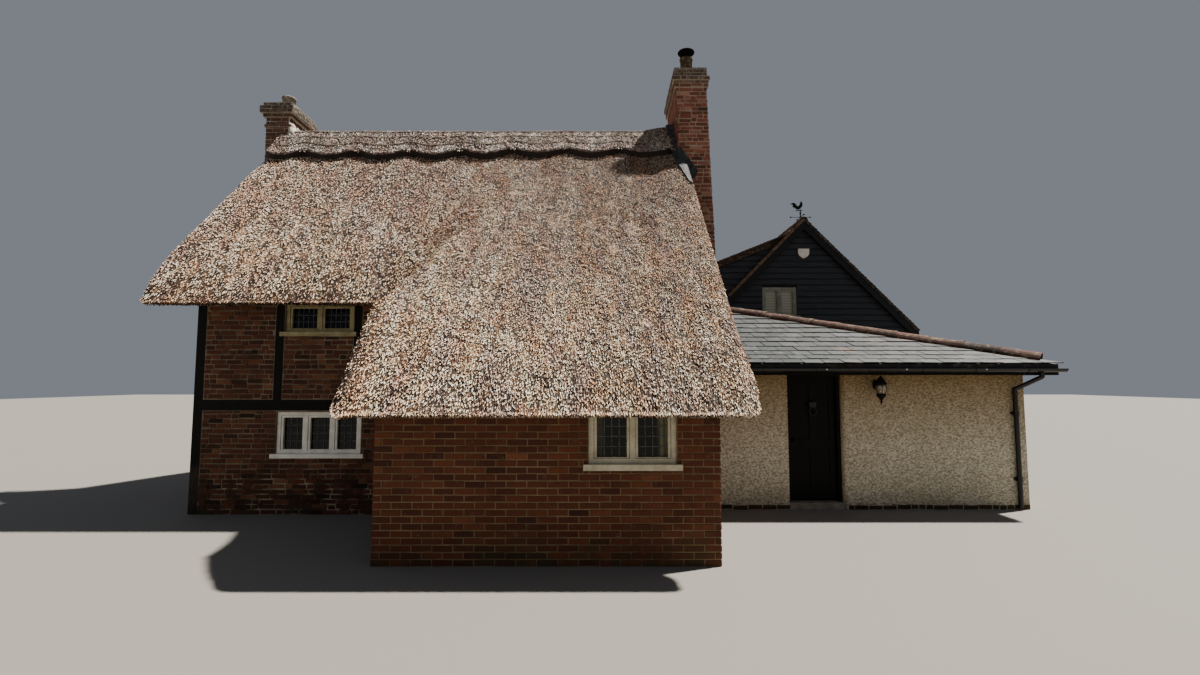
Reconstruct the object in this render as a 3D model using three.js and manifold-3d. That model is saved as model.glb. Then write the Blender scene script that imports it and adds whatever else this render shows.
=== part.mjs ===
// Thatched cottage with a catslide outshot, a slated entrance wing and a boarded rear range.
// Millimetres, +X to the right of the entrance front, +Y towards the back, +Z up from the ground.
// While it is built, x = 0 lies in front of the outshot window and y = 0 is the outshot's front
// face. At the end the whole house is moved so that its origin is the middle of its base.
import * as THREE from "three";
import { mergeVertices } from "three/addons/utils/BufferGeometryUtils.js";
import Module from "manifold-3d";

const wasm = await Module();
wasm.setup();

// Spacing between pieces that touch
const GAP = 0.3;

// Old block under the thatch
const BLOCK = { left: -6100, right: 1300, front: 2290, back: 7030, wall: 225 };
const OUTSHOT = { left: -2450, right: 1300, front: 0, wall: 225 };
const RIDGE_Y = (BLOCK.front + BLOCK.back) / 2;
const GROUND_FLOOR = 150;
const UPPER_FLOOR = { bottom: 2150, top: 2300 };

// Thatch: steep main slope, easier catslide slope over the outshot, rounded eaves
const THATCH = {
  left: -6690,
  right: 1630,
  apex: 6680,
  mainSlope: 1.265,
  catslideSlope: 0.976,
  mainDepth: 484,
  catslideDepth: 419,
  mainEave: 1990,
  catslideEave: -360,
  mainLip: 203,
  catslideLip: 158,
  vergeX: -2757,
};
// The left verge leans in as it climbs, most of all over the ridge
const VERGE_LEAN = { from: -5800, slope: 200, ridge: 160 };
const RIDGE_CAP = {
  left: -6660,
  right: 1600,
  top: 6950,
  lip: 105,
  drop: 370,
  scallop: 160,
  cusp: -5750,
  period: 1020,
  endLift: 100,
  liftFrom: 700,
};

// Brick stacks outside the two gables
const LEFT_STACK = { left: -6650, right: -6180, front: 4620, back: 5370, shoulder: 5000, lean: 0 };
const RIGHT_STACK = { left: 1440, right: 2010, front: 4080, back: 5380, shoulder: 4000, lean: 0.0384 };
const RIGHT_STACK_TOP = 7540;
const LEFT_STACK_TOP = 7260;

// Entrance wing with its low slate roof, hipped at the right end
const WING = { left: 1300, right: 6610, front: 2600, wall: 250 };
const WING_ROOF = { front: 2350, right: 6970, eave: 2230, slope: 0.3153, thick: 60 };
const DOORWAY = {
  left: 2920,
  right: 3770,
  sill: 100,
  head: 2080,
  frame: 50,
  frameFront: 2690,
  frameBack: 2790,
};
const DOOR = { thick: 44, hingeGap: 5, latchGap: 8, foot: 12, headGap: 5 };

// Boarded rear range: steep gable towards the front, lower link roof on its left
const RANGE = { left: 2530, right: 7630, front: 7600, back: 11600, wall: 200, sideWall: 150 };
const RANGE_ROOF = { ridgeX: 5080, apex: 5980, slope: 1.018, halfWidth: 2750, thick: 150, overhang: 100 };
const LINK = { left: 1300, eaveX: 1150, meetX: 4730, slope: 0.404 };
const RANGE_FLOOR = { bottom: 2420, top: 2570 };

const VANE = { x: 5080, y: 7700, mastTop: 6215, pinTop: 6425, arms: 6090, reach: 245 };

const finish = (color, roughness, metalness = 0) => ({ color, roughness, metalness });
const OLD_BRICK = finish(0x6e3a2a, 0.9);
const NEW_BRICK = finish(0x8a4a2e, 0.9);
const STACK_BRICK = finish(0x7c4532, 0.9);
const STRAW = finish(0x9a8672, 1);
const RIDGE_STRAW = finish(0x7d7062, 1);
const TARRED_OAK = finish(0x1b1917, 0.75);
const CREAM_PAINT = finish(0xd9d2b4, 0.55);
const LEADED_GLASS = finish(0x1c2224, 0.1);
const ROUGHCAST = finish(0xd8cdb2, 0.95);
const SLATE = finish(0x59626b, 0.6);
const CLAY = finish(0x7b4a37, 0.85);
const BLACK_PAINT = finish(0x151515, 0.4);
const LEAD = finish(0x7d858c, 0.5, 0.6);
const STONE = finish(0x8d877c, 0.9);
const FLOOR_BOARD = finish(0x6b5540, 0.8);
const WHITE_PLASTIC = finish(0xe9e7e0, 0.4);
const BLACK_IRON = finish(0x1a1a1a, 0.5, 0.8);

const house = new THREE.Group();

const clamp01 = (t) => Math.min(1, Math.max(0, t));
const ease = (t) => clamp01(t) ** 2 * (3 - 2 * clamp01(t));
const mix = (a, b, t) => a + (b - a) * t;

// A closed geometry as a solid that can be joined and cut
function solid(geometry) {
  const bare = geometry.index ? geometry.toNonIndexed() : geometry.clone();
  bare.deleteAttribute("normal");
  bare.deleteAttribute("uv");
  const merged = mergeVertices(bare, 1e-3);
  const vertProperties = new Float32Array(merged.attributes.position.array);
  const triVerts = new Uint32Array(merged.index.array);
  return new wasm.Manifold(new wasm.Mesh({ numProp: 3, vertProperties, triVerts }));
}

// A solid added to the house as one named mesh with its own material
function place(name, shape, look) {
  const mesh = shape.getMesh();
  const geometry = new THREE.BufferGeometry();
  geometry.setAttribute("position", new THREE.BufferAttribute(mesh.vertProperties, 3));
  geometry.setIndex(new THREE.BufferAttribute(mesh.triVerts, 1));
  geometry.computeVertexNormals();
  const piece = new THREE.Mesh(geometry, new THREE.MeshStandardMaterial(look));
  piece.name = name;
  house.add(piece);
  return piece;
}

// Box between two corners
function block(x0, x1, y0, y1, z0, z1) {
  const box = new THREE.BoxGeometry(x1 - x0, y1 - y0, z1 - z0);
  box.translate((x0 + x1) / 2, (y0 + y1) / 2, (z0 + z1) / 2);
  return solid(box);
}

// Flat outline carried along one axis: x takes (y, z), y takes (x, z), z takes (x, y)
function prism(axis, outline, from, to) {
  const corners = (pairs) => new THREE.Shape(pairs.map(([a, b]) => new THREE.Vector2(a, b)));
  const shape = outline instanceof THREE.Shape ? outline : corners(outline);
  const settings = { depth: to - from, bevelEnabled: false, curveSegments: 6 };
  const geometry = new THREE.ExtrudeGeometry(shape, settings);
  if (axis === "x") {
    const turn = new THREE.Matrix4().makeBasis(
      new THREE.Vector3(0, 1, 0),
      new THREE.Vector3(0, 0, 1),
      new THREE.Vector3(1, 0, 0),
    );
    geometry.applyMatrix4(turn).translate(from, 0, 0);
  } else if (axis === "y") {
    geometry.rotateX(Math.PI / 2).translate(0, to, 0);
  } else {
    geometry.translate(0, 0, from);
  }
  return solid(geometry);
}

// Round bar between two points
function bar(start, end, radius, sides = 10) {
  const from = new THREE.Vector3(...start);
  const to = new THREE.Vector3(...end);
  const along = new THREE.Vector3().subVectors(to, from);
  const geometry = new THREE.CylinderGeometry(radius, radius, along.length(), sides);
  const up = new THREE.Vector3(0, 1, 0);
  geometry.applyQuaternion(new THREE.Quaternion().setFromUnitVectors(up, along.clone().normalize()));
  geometry.translate((from.x + to.x) / 2, (from.y + to.y) / 2, (from.z + to.z) / 2);
  return solid(geometry);
}

// Turned shape about an upright axis, from [radius, height] pairs that start and end on the axis
function turned(profile, x, y, sides = 16) {
  const points = profile.map(([r, z]) => new THREE.Vector2(r, z));
  const geometry = new THREE.LatheGeometry(points, sides);
  geometry.rotateX(Math.PI / 2).translate(x, y, 0);
  return solid(geometry);
}

const join = (shapes) => shapes.reduce((all, next) => all.add(next));

// A hole for a shape, a hair larger than the shape
function around(shape) {
  const steps = [[GAP, 0, 0], [-GAP, 0, 0], [0, GAP, 0], [0, -GAP, 0], [0, 0, GAP], [0, 0, -GAP]];
  return join(steps.map((step) => shape.translate(step)));
}

// Sideways lean of the left verge: nothing at the eaves, most at the ridge
function endLean(x, y) {
  const share = clamp01((VERGE_LEAN.from - x) / (VERGE_LEAN.from - THATCH.left));
  const height = 1 - Math.abs(y - RIDGE_Y) / (RIDGE_Y - THATCH.mainEave);
  return share * (VERGE_LEAN.slope * clamp01(height) + VERGE_LEAN.ridge * ease((height - 0.8) / 0.2));
}

// Closed skin through rings of [y, z] points that stand at successive x stations. Two skins whose
// rings run opposite ways match where one of them splits its quads along the other diagonal.
function loft(stations, otherDiagonal = false) {
  const count = stations[0].ring.length;
  const positions = [];
  for (const { x, ring } of stations) {
    for (const [y, z] of ring) {
      positions.push(x + endLean(x, y), y, z);
    }
  }
  const index = [];
  for (let s = 0; s + 1 < stations.length; s += 1) {
    for (let i = 0; i < count; i += 1) {
      const a = s * count + i;
      const b = s * count + ((i + 1) % count);
      const split = otherDiagonal
        ? [a, b, a + count, b, b + count, a + count]
        : [a, b, b + count, a, b + count, a + count];
      index.push(...split);
    }
  }
  const flat = (ring) => ring.map(([y, z]) => new THREE.Vector2(y, z));
  const cap = (s) => THREE.ShapeUtils.triangulateShape(flat(stations[s].ring), []);
  for (const [a, b, c] of cap(0)) {
    index.push(c, b, a);
  }
  const last = (stations.length - 1) * count;
  for (const [a, b, c] of cap(stations.length - 1)) {
    index.push(last + a, last + b, last + c);
  }
  const geometry = new THREE.BufferGeometry();
  geometry.setAttribute("position", new THREE.Float32BufferAttribute(positions, 3));
  geometry.setIndex(index);
  return solid(geometry);
}

// Left edge of the catslide: it drifts outwards as it climbs towards the main eave
function vergeAt(y) {
  const up = y - THATCH.catslideEave;
  return THATCH.vergeX - 0.045 * up - 0.000034 * up * up;
}

// How far forward the thatch reaches at x: main eave, then down the verge to the catslide eave
function eaveAt(x) {
  if (x >= THATCH.vergeX) {
    return THATCH.catslideEave;
  }
  const out = THATCH.vergeX - x;
  const up = (-0.045 + Math.sqrt(0.045 ** 2 + 4 * 0.000034 * out)) / (2 * 0.000034);
  return Math.min(THATCH.mainEave, THATCH.catslideEave + up);
}

// Share of the catslide in the surface: it grows from its verge, sharply low down, softly high up
function catslideShare(x, y) {
  const climb = (y - 1000) / 1000;
  const width = y < 1000 ? 260 : mix(260, 1000, climb);
  return ease((x - vergeAt(y)) / width);
}

// Height of the thatch's outer face over the plan
function thatchTop(x, y) {
  if (y >= RIDGE_Y) {
    return THATCH.apex - THATCH.mainSlope * (y - RIDGE_Y);
  }
  const main = THATCH.apex - THATCH.mainSlope * (RIDGE_Y - y);
  const catslide = THATCH.apex - THATCH.catslideSlope * (RIDGE_Y - y);
  const edgeDrop = mix(90, catslide - main, clamp01((y - 900) / 1090));
  return catslide - (1 - catslideShare(x, y)) * (y < THATCH.mainEave ? edgeDrop : catslide - main);
}

const onCatslide = (x) => ease((x + 3400) / 700);
const frontDepth = (x) => mix(THATCH.mainDepth, THATCH.catslideDepth, onCatslide(x));
const thatchDepth = (x, y) => (y > RIDGE_Y ? THATCH.mainDepth : frontDepth(x));

const TOP_STEPS = [0.04, 0.08, 0.13, 0.22, 0.32, 0.42, 0.52, 0.64, 0.76, 0.88, 1];
const BACK_STEPS = [0.7, 0.35, 0.2, 0.1, 0.04];
const UNDER_STEPS = [1, 0.84, 0.68, 0.54, 0.42, 0.32, 0.22];
const NOSE = [[0, -152], [-18, -160], [-28, -172], [-22, -187], [10, -197], [90, -203]];
const EAVE_ROLL = { run: 600, drop: 150 };
const SOFFIT_RUN = 300;

// Underside from the front wall plate over the ridge to the back wall plate
function underside(x, lower = 0) {
  const front = eaveAt(x);
  const wallLine = front + (front > 0 ? SOFFIT_RUN : SOFFIT_RUN + 60);
  const backWall = 2 * RIDGE_Y - THATCH.mainEave - SOFFIT_RUN;
  const points = UNDER_STEPS.map((f) => mix(wallLine, RIDGE_Y, f));
  const rising = [wallLine, ...points.reverse()].map((y) => [y, thatchTop(x, y) - thatchDepth(x, y) - lower]);
  rising[rising.length - 1][1] = THATCH.apex - THATCH.mainDepth - lower;
  return [...rising, [backWall, thatchTop(x, backWall) - THATCH.mainDepth - lower]];
}

// Outline of the coat at one x, drawn in by inset where the verge is rounded off. Near the eaves the
// outer face rolls over and steepens, so that it runs right down to the cut edge.
function coatRing(x, inset = 0) {
  const front = eaveAt(x);
  const lip = mix(THATCH.mainLip, THATCH.catslideLip, onCatslide(x)) / THATCH.mainLip;
  const back = 2 * RIDGE_Y - THATCH.mainEave;
  const roll = (run) => EAVE_ROLL.drop * clamp01((EAVE_ROLL.run - run) / EAVE_ROLL.run) ** 2;
  const outer = (y) => thatchTop(x, y) - (y < RIDGE_Y ? lip * roll(y - front) : roll(back - y));
  const noseZ = thatchTop(x, front);
  const backZ = thatchTop(x, back);
  const shrink = 1 - inset / 400;
  const low = inset * 0.3;
  const frontNose = NOSE.map(([dy, dz]) => [front + inset + dy * shrink, noseZ + dz * lip * shrink - low]);
  const backNose = NOSE.map(([dy, dz]) => [back - inset - dy * shrink, backZ + dz * shrink - low]);
  const rise = TOP_STEPS.map((f) => mix(front, RIDGE_Y, f)).map((y) => [y, outer(y) - inset]);
  const fall = BACK_STEPS.map((f) => mix(back, RIDGE_Y, f)).map((y) => [y, outer(y) - inset]);
  const under = underside(x).map(([y, z]) => [y, z + inset]);
  const ring = [...under.reverse(), ...frontNose.reverse(), ...rise, ...fall, ...backNose];
  return ring.reverse();
}

// Stations along the thatch: rounded verges, and close together where the catslide sets off
function thatchStations() {
  const { left, right } = THATCH;
  const plain = [left + 90, -6100, -5400, -4700, -4000, -3600, -3300, -3120];
  const verge = [1990, 1500, 1050, 600, 200, -120].map(vergeAt);
  const body = [THATCH.vergeX, -2700, -2600, -2480, -2300, -2050, -1750, -1300, -600, 200, 1000, right - 90];
  const rounded = [[left, 70], [left + 25, 22]];
  return [
    ...rounded.map(([x, inset]) => ({ x, inset })),
    ...[...plain, ...verge, ...body].map((x) => ({ x, inset: 0 })),
    ...rounded.map(([x, inset]) => ({ x: right - (x - left), inset })).reverse(),
  ];
}

// Everything below the coat, as the limit that walls are trimmed to
function spaceUnderThatch() {
  const ring = (x) => {
    const soffit = underside(x, GAP);
    const first = soffit[0][0];
    const last = soffit[soffit.length - 1][0];
    return [...soffit, [last + 1, -1000], [first - 1, -1000]].reverse();
  };
  return loft(thatchStations().map(({ x }) => ({ x, ring: ring(x) })), true);
}

// Decorative ridge: a thick straw cap whose lower edges are cut in rounded scallops, with points
// between them that turn upwards. It lifts a little where it runs up to the right-hand stack.
function ridgeRing(x) {
  const bulge = Math.abs(Math.sin((Math.PI * (x - RIDGE_CAP.cusp)) / RIDGE_CAP.period));
  const drop = RIDGE_CAP.drop + RIDGE_CAP.scallop * bulge;
  const frontSlope = (THATCH.apex - thatchTop(x, RIDGE_Y - 500)) / 500;
  const lift = RIDGE_CAP.endLift * ease((x - RIDGE_CAP.liftFrom) / (RIGHT_STACK.left - RIDGE_CAP.liftFrom));
  const top = RIDGE_CAP.top + lift;
  const side = (run, way) => {
    const edge = RIDGE_Y + way * run;
    const lipZ = thatchTop(x, edge) + RIDGE_CAP.lip;
    const face = (f, swell) => [mix(edge, RIDGE_Y, f), mix(lipZ, top, f) + swell];
    return [
      [edge - way * 50, thatchTop(x, edge - way * 50) - 40],
      [edge, thatchTop(x, edge) - 15],
      [edge + way * 20, lipZ - 70],
      [edge, lipZ],
      face(0.35, 20),
      face(0.72, 28),
      face(0.88, 12),
    ];
  };
  const front = side(drop / frontSlope, -1);
  const back = side(drop / THATCH.mainSlope, 1);
  const ring = [...front, [RIDGE_Y, top], ...back.reverse(), [RIDGE_Y, THATCH.apex - 60]];
  return ring.reverse();
}

// Stations of the ridge: eight to a scallop, with one on each point
function ridgeCap() {
  const { left, right, cusp, period } = RIDGE_CAP;
  const step = period / 8;
  const xs = [left];
  for (let x = cusp - 6 * step; x < right - 20; x += step) {
    xs.push(x);
  }
  xs.push(right);
  return loft(xs.map((x) => ({ x, ring: ridgeRing(x) })));
}

// Brick stack: plain base against the gable, then the shaft, leaning where the real one leans
function shaft(stack, top, grow = 0, from = stack.shoulder) {
  const shift = (z) => stack.lean * (7800 - z);
  const outline = [
    [stack.left + shift(from) - grow, from],
    [stack.right + shift(from) + grow, from],
    [stack.right + shift(top) + grow, top],
    [stack.left + shift(top) - grow, top],
  ];
  return prism("y", outline, stack.front - grow, stack.back + grow);
}

// Square courses round the top of a stack, each [bottom, top, projection]
function courses(stack, rows) {
  return rows.map(([bottom, top, out]) => {
    const shift = stack.lean * (7800 - (bottom + top) / 2);
    return block(
      stack.left + shift - out, stack.right + shift + out,
      stack.front - out, stack.back + out, bottom, top,
    );
  });
}

function leftChimney() {
  const { left, front, back, shoulder } = LEFT_STACK;
  const base = block(left, BLOCK.left - GAP, front, back, 0, shoulder);
  const head = courses(LEFT_STACK, [[7000, 7060, 25], [7200, 7275, 45], [7275, 7420, 90], [7420, 7500, 45]]);
  return join([base, shaft(LEFT_STACK, LEFT_STACK_TOP), ...head]).subtract(timbers(GAP));
}

function rightChimney() {
  const base = block(BLOCK.right + GAP, 2200, RIGHT_STACK.front, RIGHT_STACK.back, 0, RIGHT_STACK.shoulder);
  const head = courses(RIGHT_STACK, [[7530, 7660, 30], [7660, 7740, 60], [7740, 7920, 18]]);
  return join([base, shaft(RIGHT_STACK, RIGHT_STACK_TOP), ...head]);
}

// The largest body of a cut shape, without the crumbs that a cut can leave
const largest = (shape) => shape.decompose().sort((a, b) => b.volume() - a.volume())[0];

// Lead sheet dressed over the thatch beside a stack, as far as its plan [x, y] outline reaches
function leadSheet(under, plan, stackHole) {
  const thick = 22;
  const raised = join([-thick, 0, thick].map((shift) => under.translate([0, shift, thick])));
  const straw = around(under).add(under.translate([0, 0, -10 * thick]));
  return largest(raised.intersect(prism("z", plan, 4600, 7300)).subtract(straw).subtract(stackHole));
}

// Thatch, ridge, stacks and lead
function roofOfThatch() {
  const leftHole = shaft(LEFT_STACK, 9000, GAP, 4000);
  const rightHole = shaft(RIGHT_STACK, 9000, GAP, 4000);
  const whole = loft(thatchStations().map(({ x, inset }) => ({ x, ring: coatRing(x, inset) })));
  const coat = whole.subtract(leftHole).subtract(rightHole);
  const ridge = ridgeCap().subtract(whole.translate([0, 0, GAP])).subtract(leftHole).subtract(rightHole);
  place("thatch_coat", coat, STRAW);
  place("thatch_ridge", ridge, RIDGE_STRAW);
  place("left_chimney", leftChimney(), STACK_BRICK);
  place("right_chimney", rightChimney(), STACK_BRICK);
  const covering = whole.add(ridgeCap());
  const rightPlan = [[1310, 5600], [1310, 4700], [1390, 4186], [1560, 3376], [1700, 3376], [1700, 5600]];
  const leftPlan = [[-6700, 4900], [-6085, 4900], [-6085, 5560], [-6700, 5560]];
  const apron = prism(
    "y",
    [[1480, 6360], [1540, 6340], [1850, 5900], [1790, 5790], [1600, 5640], [1480, 5900]],
    RIGHT_STACK.front - 12,
    RIGHT_STACK.front - GAP,
  );
  const rightLead = leadSheet(covering, rightPlan, rightHole).add(apron).subtract(around(covering));
  place("right_chimney_flashing", largest(rightLead), LEAD);
  place("left_chimney_flashing", leadSheet(covering, leftPlan, leftHole), LEAD);
  return whole;
}

function chimneyPots() {
  const left = { x: -6415, y: 4960 };
  const right = { x: 1700, y: 4420 };
  const leftPot = [
    [0, 7500 + GAP], [120, 7500 + GAP], [105, 7560], [110, 7640],
    [125, 7660], [90, 7665], [85, 7560], [0, 7560],
  ];
  const rightPot = [
    [0, 7920 + GAP], [150, 7920 + GAP], [120, 7990], [108, 8050],
    [108, 8300], [90, 8300], [90, 8060], [0, 8060],
  ];
  place("left_chimney_pot", turned(leftPot, left.x, left.y), CLAY);
  place("right_chimney_pot", turned(rightPot, right.x, right.y), CLAY);
  const cowl = [
    [0, 8290], [70, 8290], [70, 8300 + GAP], [112, 8300 + GAP], [112, 8330], [86, 8345], [86, 8400],
    [150, 8400], [160, 8425], [140, 8470], [70, 8500], [0, 8505],
  ];
  place("chimney_cowl", turned(cowl, right.x, right.y), BLACK_IRON);
}

// Window: casement frame with mullions, and a sill that stands out past the opening at both ends
function windowFrame(spec) {
  const { x0, x1, z0, z1, face, lights, member = 50, sill = 64, facing = 1 } = spec;
  const near = face + facing * 30;
  const far = face + facing * 90;
  const span = (a, b) => [Math.min(a, b), Math.max(a, b)];
  const deep = span(near, far);
  let frame = block(x0, x1, ...deep, z0, z1);
  const pitch = (x1 - x0 - member) / lights;
  for (let i = 0; i < lights; i += 1) {
    const left = x0 + member + i * pitch;
    const opening = block(left, left + pitch - member, deep[0] - 5, deep[1] + 5, z0 + member, z1 - member);
    frame = frame.subtract(opening);
  }
  const inside = block(x0, x1, ...span(face - facing * 50, far + facing * 20), z0 - sill, z0 + 1);
  const horns = block(x0 - 55, x1 + 60, ...span(face - facing * 50, face - facing * GAP), z0 - sill, z0);
  return join([frame, inside, horns]);
}

function windowHole({ x0, x1, z0, z1, sill = 64 }, y0, y1) {
  return block(x0 - GAP, x1 + GAP, y0, y1, z0 - sill - GAP, z1 + GAP);
}

function glassPane({ x0, x1, z0, z1, face, facing = 1 }) {
  const near = face + facing * (90 + GAP);
  const far = near + facing * 6;
  return block(x0 + 15, x1 - 15, Math.min(near, far), Math.max(near, far), z0 + 15, z1 - 15);
}

const LOWER_WINDOW = { x0: -4850, x1: -3580, z0: 885, z1: 1505, face: BLOCK.front, lights: 3, sill: 59 };
const UPPER_WINDOW = { x0: -4780, x1: -3740, z0: 2710, z1: 3160, face: BLOCK.front, lights: 2 };
const OUTSHOT_WINDOW = { x0: -124, x1: 833, z0: 1080, z1: 1680, face: OUTSHOT.front, lights: 2, member: 55 };
const BACK_LOWER = { x0: -4850, x1: -3580, z0: 885, z1: 1505, face: BLOCK.back, lights: 3, facing: -1 };
const BACK_UPPER = { x0: -1740, x1: -700, z0: 2710, z1: 3150, face: BLOCK.back, lights: 2, facing: -1 };
const RANGE_FACE = RANGE.front - 20;
const RANGE_WINDOW = { x0: 4040, x1: 4890, z0: 3560, z1: 4280, face: RANGE_FACE, lights: 2, member: 55 };

function windows() {
  const all = [
    ["lower_window", LOWER_WINDOW], ["upper_window", UPPER_WINDOW], ["outshot_window", OUTSHOT_WINDOW],
    ["back_lower_window", BACK_LOWER], ["back_upper_window", BACK_UPPER], ["range_window", RANGE_WINDOW],
  ];
  for (const [name, spec] of all) {
    place(`${name}_frame`, windowFrame(spec), CREAM_PAINT);
    place(`${name}_glass`, glassPane(spec), LEADED_GLASS);
  }
}

// Black timbers of the old block: corner posts, storey posts and the rail between the storeys
const POST_OUT = 10;
const POST_DEEP = 120;
function timbers(grow = 0) {
  const front = [BLOCK.front - POST_OUT, BLOCK.front + POST_DEEP];
  const back = [BLOCK.back - POST_DEEP, BLOCK.back + POST_OUT];
  const left = BLOCK.left - POST_OUT;
  const rail = [1530, 1690];
  const top = 3600;
  const pieces = [
    [left, -5970, ...front, -grow, top],
    [-4920, -4790, ...front, rail[0], top],
    [-3730, -3610, ...front, rail[0], top],
    [left, OUTSHOT.left - GAP, ...front, ...rail],
    [left, BLOCK.left + POST_DEEP, BLOCK.front, BLOCK.back, ...rail],
    [left, -5970, ...back, -grow, top],
    [-2450, -2320, ...back, rail[0], top],
    [left, BLOCK.right - GAP, ...back, ...rail],
  ];
  return join(pieces.map(([x0, x1, y0, y1, z0, z1]) => (
    block(x0 - grow, x1 + grow, y0 - grow, y1 + grow, z0 - grow, z1 + grow)
  )));
}

function oldBlock(under) {
  const { left, right, front, back, wall } = BLOCK;
  const frame = timbers().intersect(under);
  const hole = timbers(GAP);
  const insideBack = back - wall - GAP;
  const tall = 8000;
  const trimmed = (shape) => shape.intersect(under).subtract(hole);
  const frontWall = block(left, OUTSHOT.left - GAP, front, front + wall, 0, tall)
    .subtract(windowHole(LOWER_WINDOW, front - 50, front + wall + 50))
    .subtract(windowHole(UPPER_WINDOW, front - 50, front + wall + 50));
  const backWall = block(left, right, back - wall, back, 0, tall)
    .subtract(windowHole(BACK_LOWER, back - wall - 50, back + 50))
    .subtract(windowHole(BACK_UPPER, back - wall - 50, back + 50));
  place("front_wall", trimmed(frontWall), OLD_BRICK);
  place("back_wall", trimmed(backWall), OLD_BRICK);
  const leftGable = block(left, left + wall, front + wall + GAP, insideBack, 0, tall);
  place("left_gable_wall", trimmed(leftGable), OLD_BRICK);
  const rightGable = block(right - wall, right, front, insideBack, 0, tall);
  place("right_gable_wall", trimmed(rightGable), OLD_BRICK);
  place("timber_frame", frame, TARRED_OAK);
  const inner = [left + wall + GAP, right - wall - GAP];
  const groundFloor = block(...inner, front + wall + GAP, insideBack - GAP, 0, GROUND_FLOOR);
  const outshotFloor = block(
    OUTSHOT.left + OUTSHOT.wall + GAP, inner[1], OUTSHOT.wall + GAP, front + wall + 5, 0, GROUND_FLOOR,
  );
  place("ground_floor", groundFloor.add(outshotFloor), STONE);
  const upper = block(...inner, front + wall + GAP, insideBack - GAP, UPPER_FLOOR.bottom, UPPER_FLOOR.top);
  place("upper_floor", upper, FLOOR_BOARD);
}

function outshot(under) {
  const { left, right, front, wall } = OUTSHOT;
  const tall = 8000;
  const frontWall = block(left, right, front, front + wall, 0, tall)
    .subtract(windowHole(OUTSHOT_WINDOW, front - 50, front + wall + 50));
  place("outshot_front_wall", frontWall.intersect(under), NEW_BRICK);
  const leftWall = block(left, left + wall, front + wall + GAP, BLOCK.front + BLOCK.wall, 0, tall);
  place("outshot_left_wall", leftWall.intersect(under), NEW_BRICK);
  const rightWall = block(right - wall, right, front + wall + GAP, BLOCK.front - GAP, 0, tall);
  place("outshot_right_wall", rightWall.intersect(under), NEW_BRICK);
}

// Everything below the wing roof's slates, lowered by drop
function spaceUnderSlates(drop) {
  const { front, right, eave, slope } = WING_ROOF;
  const backY = RANGE.front - GAP;
  const leftX = WING.left + GAP;
  const rise = (run) => eave - drop + slope * run;
  const frontSlope = [[front, -10], [backY, -10], [backY, rise(backY - front)], [front, rise(0)]];
  const endSlope = [[leftX, -10], [right, -10], [right, rise(0)], [leftX, rise(right - leftX)]];
  return prism("x", frontSlope, leftX, right).intersect(prism("y", endSlope, front, backY));
}

function wing(thatch) {
  const { left, right, front, wall } = WING;
  const under = spaceUnderSlates(WING_ROOF.thick + GAP);
  const inner = front + wall;
  const rearY = RANGE.front - GAP;
  const stackBase = block(BLOCK.right, 2200 + GAP, RIGHT_STACK.front - GAP, RIGHT_STACK.back + GAP, 0, 4100);
  const leftOfDoor = block(left + GAP, DOORWAY.left - GAP, front, inner, 0, 3000);
  place("wing_front_wall_left", leftOfDoor.intersect(under), ROUGHCAST);
  place(
    "wing_front_wall_over_door",
    block(DOORWAY.left, DOORWAY.right, front, inner, DOORWAY.head + GAP, 3000).intersect(under),
    ROUGHCAST,
  );
  const corner = 70;
  const plan = new THREE.Shape();
  plan.moveTo(DOORWAY.right + GAP + corner, front);
  plan.lineTo(right, front);
  plan.lineTo(right, inner);
  plan.lineTo(DOORWAY.right + GAP, inner);
  plan.lineTo(DOORWAY.right + GAP, front + corner);
  plan.absarc(DOORWAY.right + GAP + corner, front + corner, corner, Math.PI, Math.PI * 1.5, false);
  place("wing_front_wall_right", prism("z", plan, 0, 3000).intersect(under), ROUGHCAST);
  const endWall = block(right - wall, right, inner + GAP, rearY, 0, 3500);
  place("wing_right_wall", endWall.intersect(under), ROUGHCAST);
  const cornerWall = block(left + GAP, left + 200, BLOCK.back + GAP, rearY, 0, 3500).intersect(under);
  place("wing_back_corner_wall", cornerWall.subtract(around(thatch)), ROUGHCAST);
  const slab = block(left + GAP, right - wall - GAP, inner + GAP, rearY, 0, DOORWAY.sill);
  const corners = block(0, left + 220, BLOCK.back, rearY + 5, -5, 200).add(stackBase);
  place("wing_floor", slab.subtract(corners), STONE);
  const roof = spaceUnderSlates(0).subtract(spaceUnderSlates(WING_ROOF.thick)).subtract(stackBase);
  place("wing_roof", roof.subtract(around(thatch)), SLATE);
}

// Half-round clay tiles in one run along the hip
function hipTiles() {
  const { front, right, eave, slope } = WING_ROOF;
  const run = RANGE.front - 40 - front;
  const start = [right - 40, front + 40, eave + slope * 40 - 35];
  const end = [right - run, front + run, eave + slope * run - 35];
  const roofArea = block(WING.left + 5, right - GAP, front + GAP, RANGE.front - GAP, eave - 100, 6000);
  place("hip_tiles", bar(start, end, 105, 14).intersect(roofArea).subtract(spaceUnderSlates(-GAP)), CLAY);
}

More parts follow.
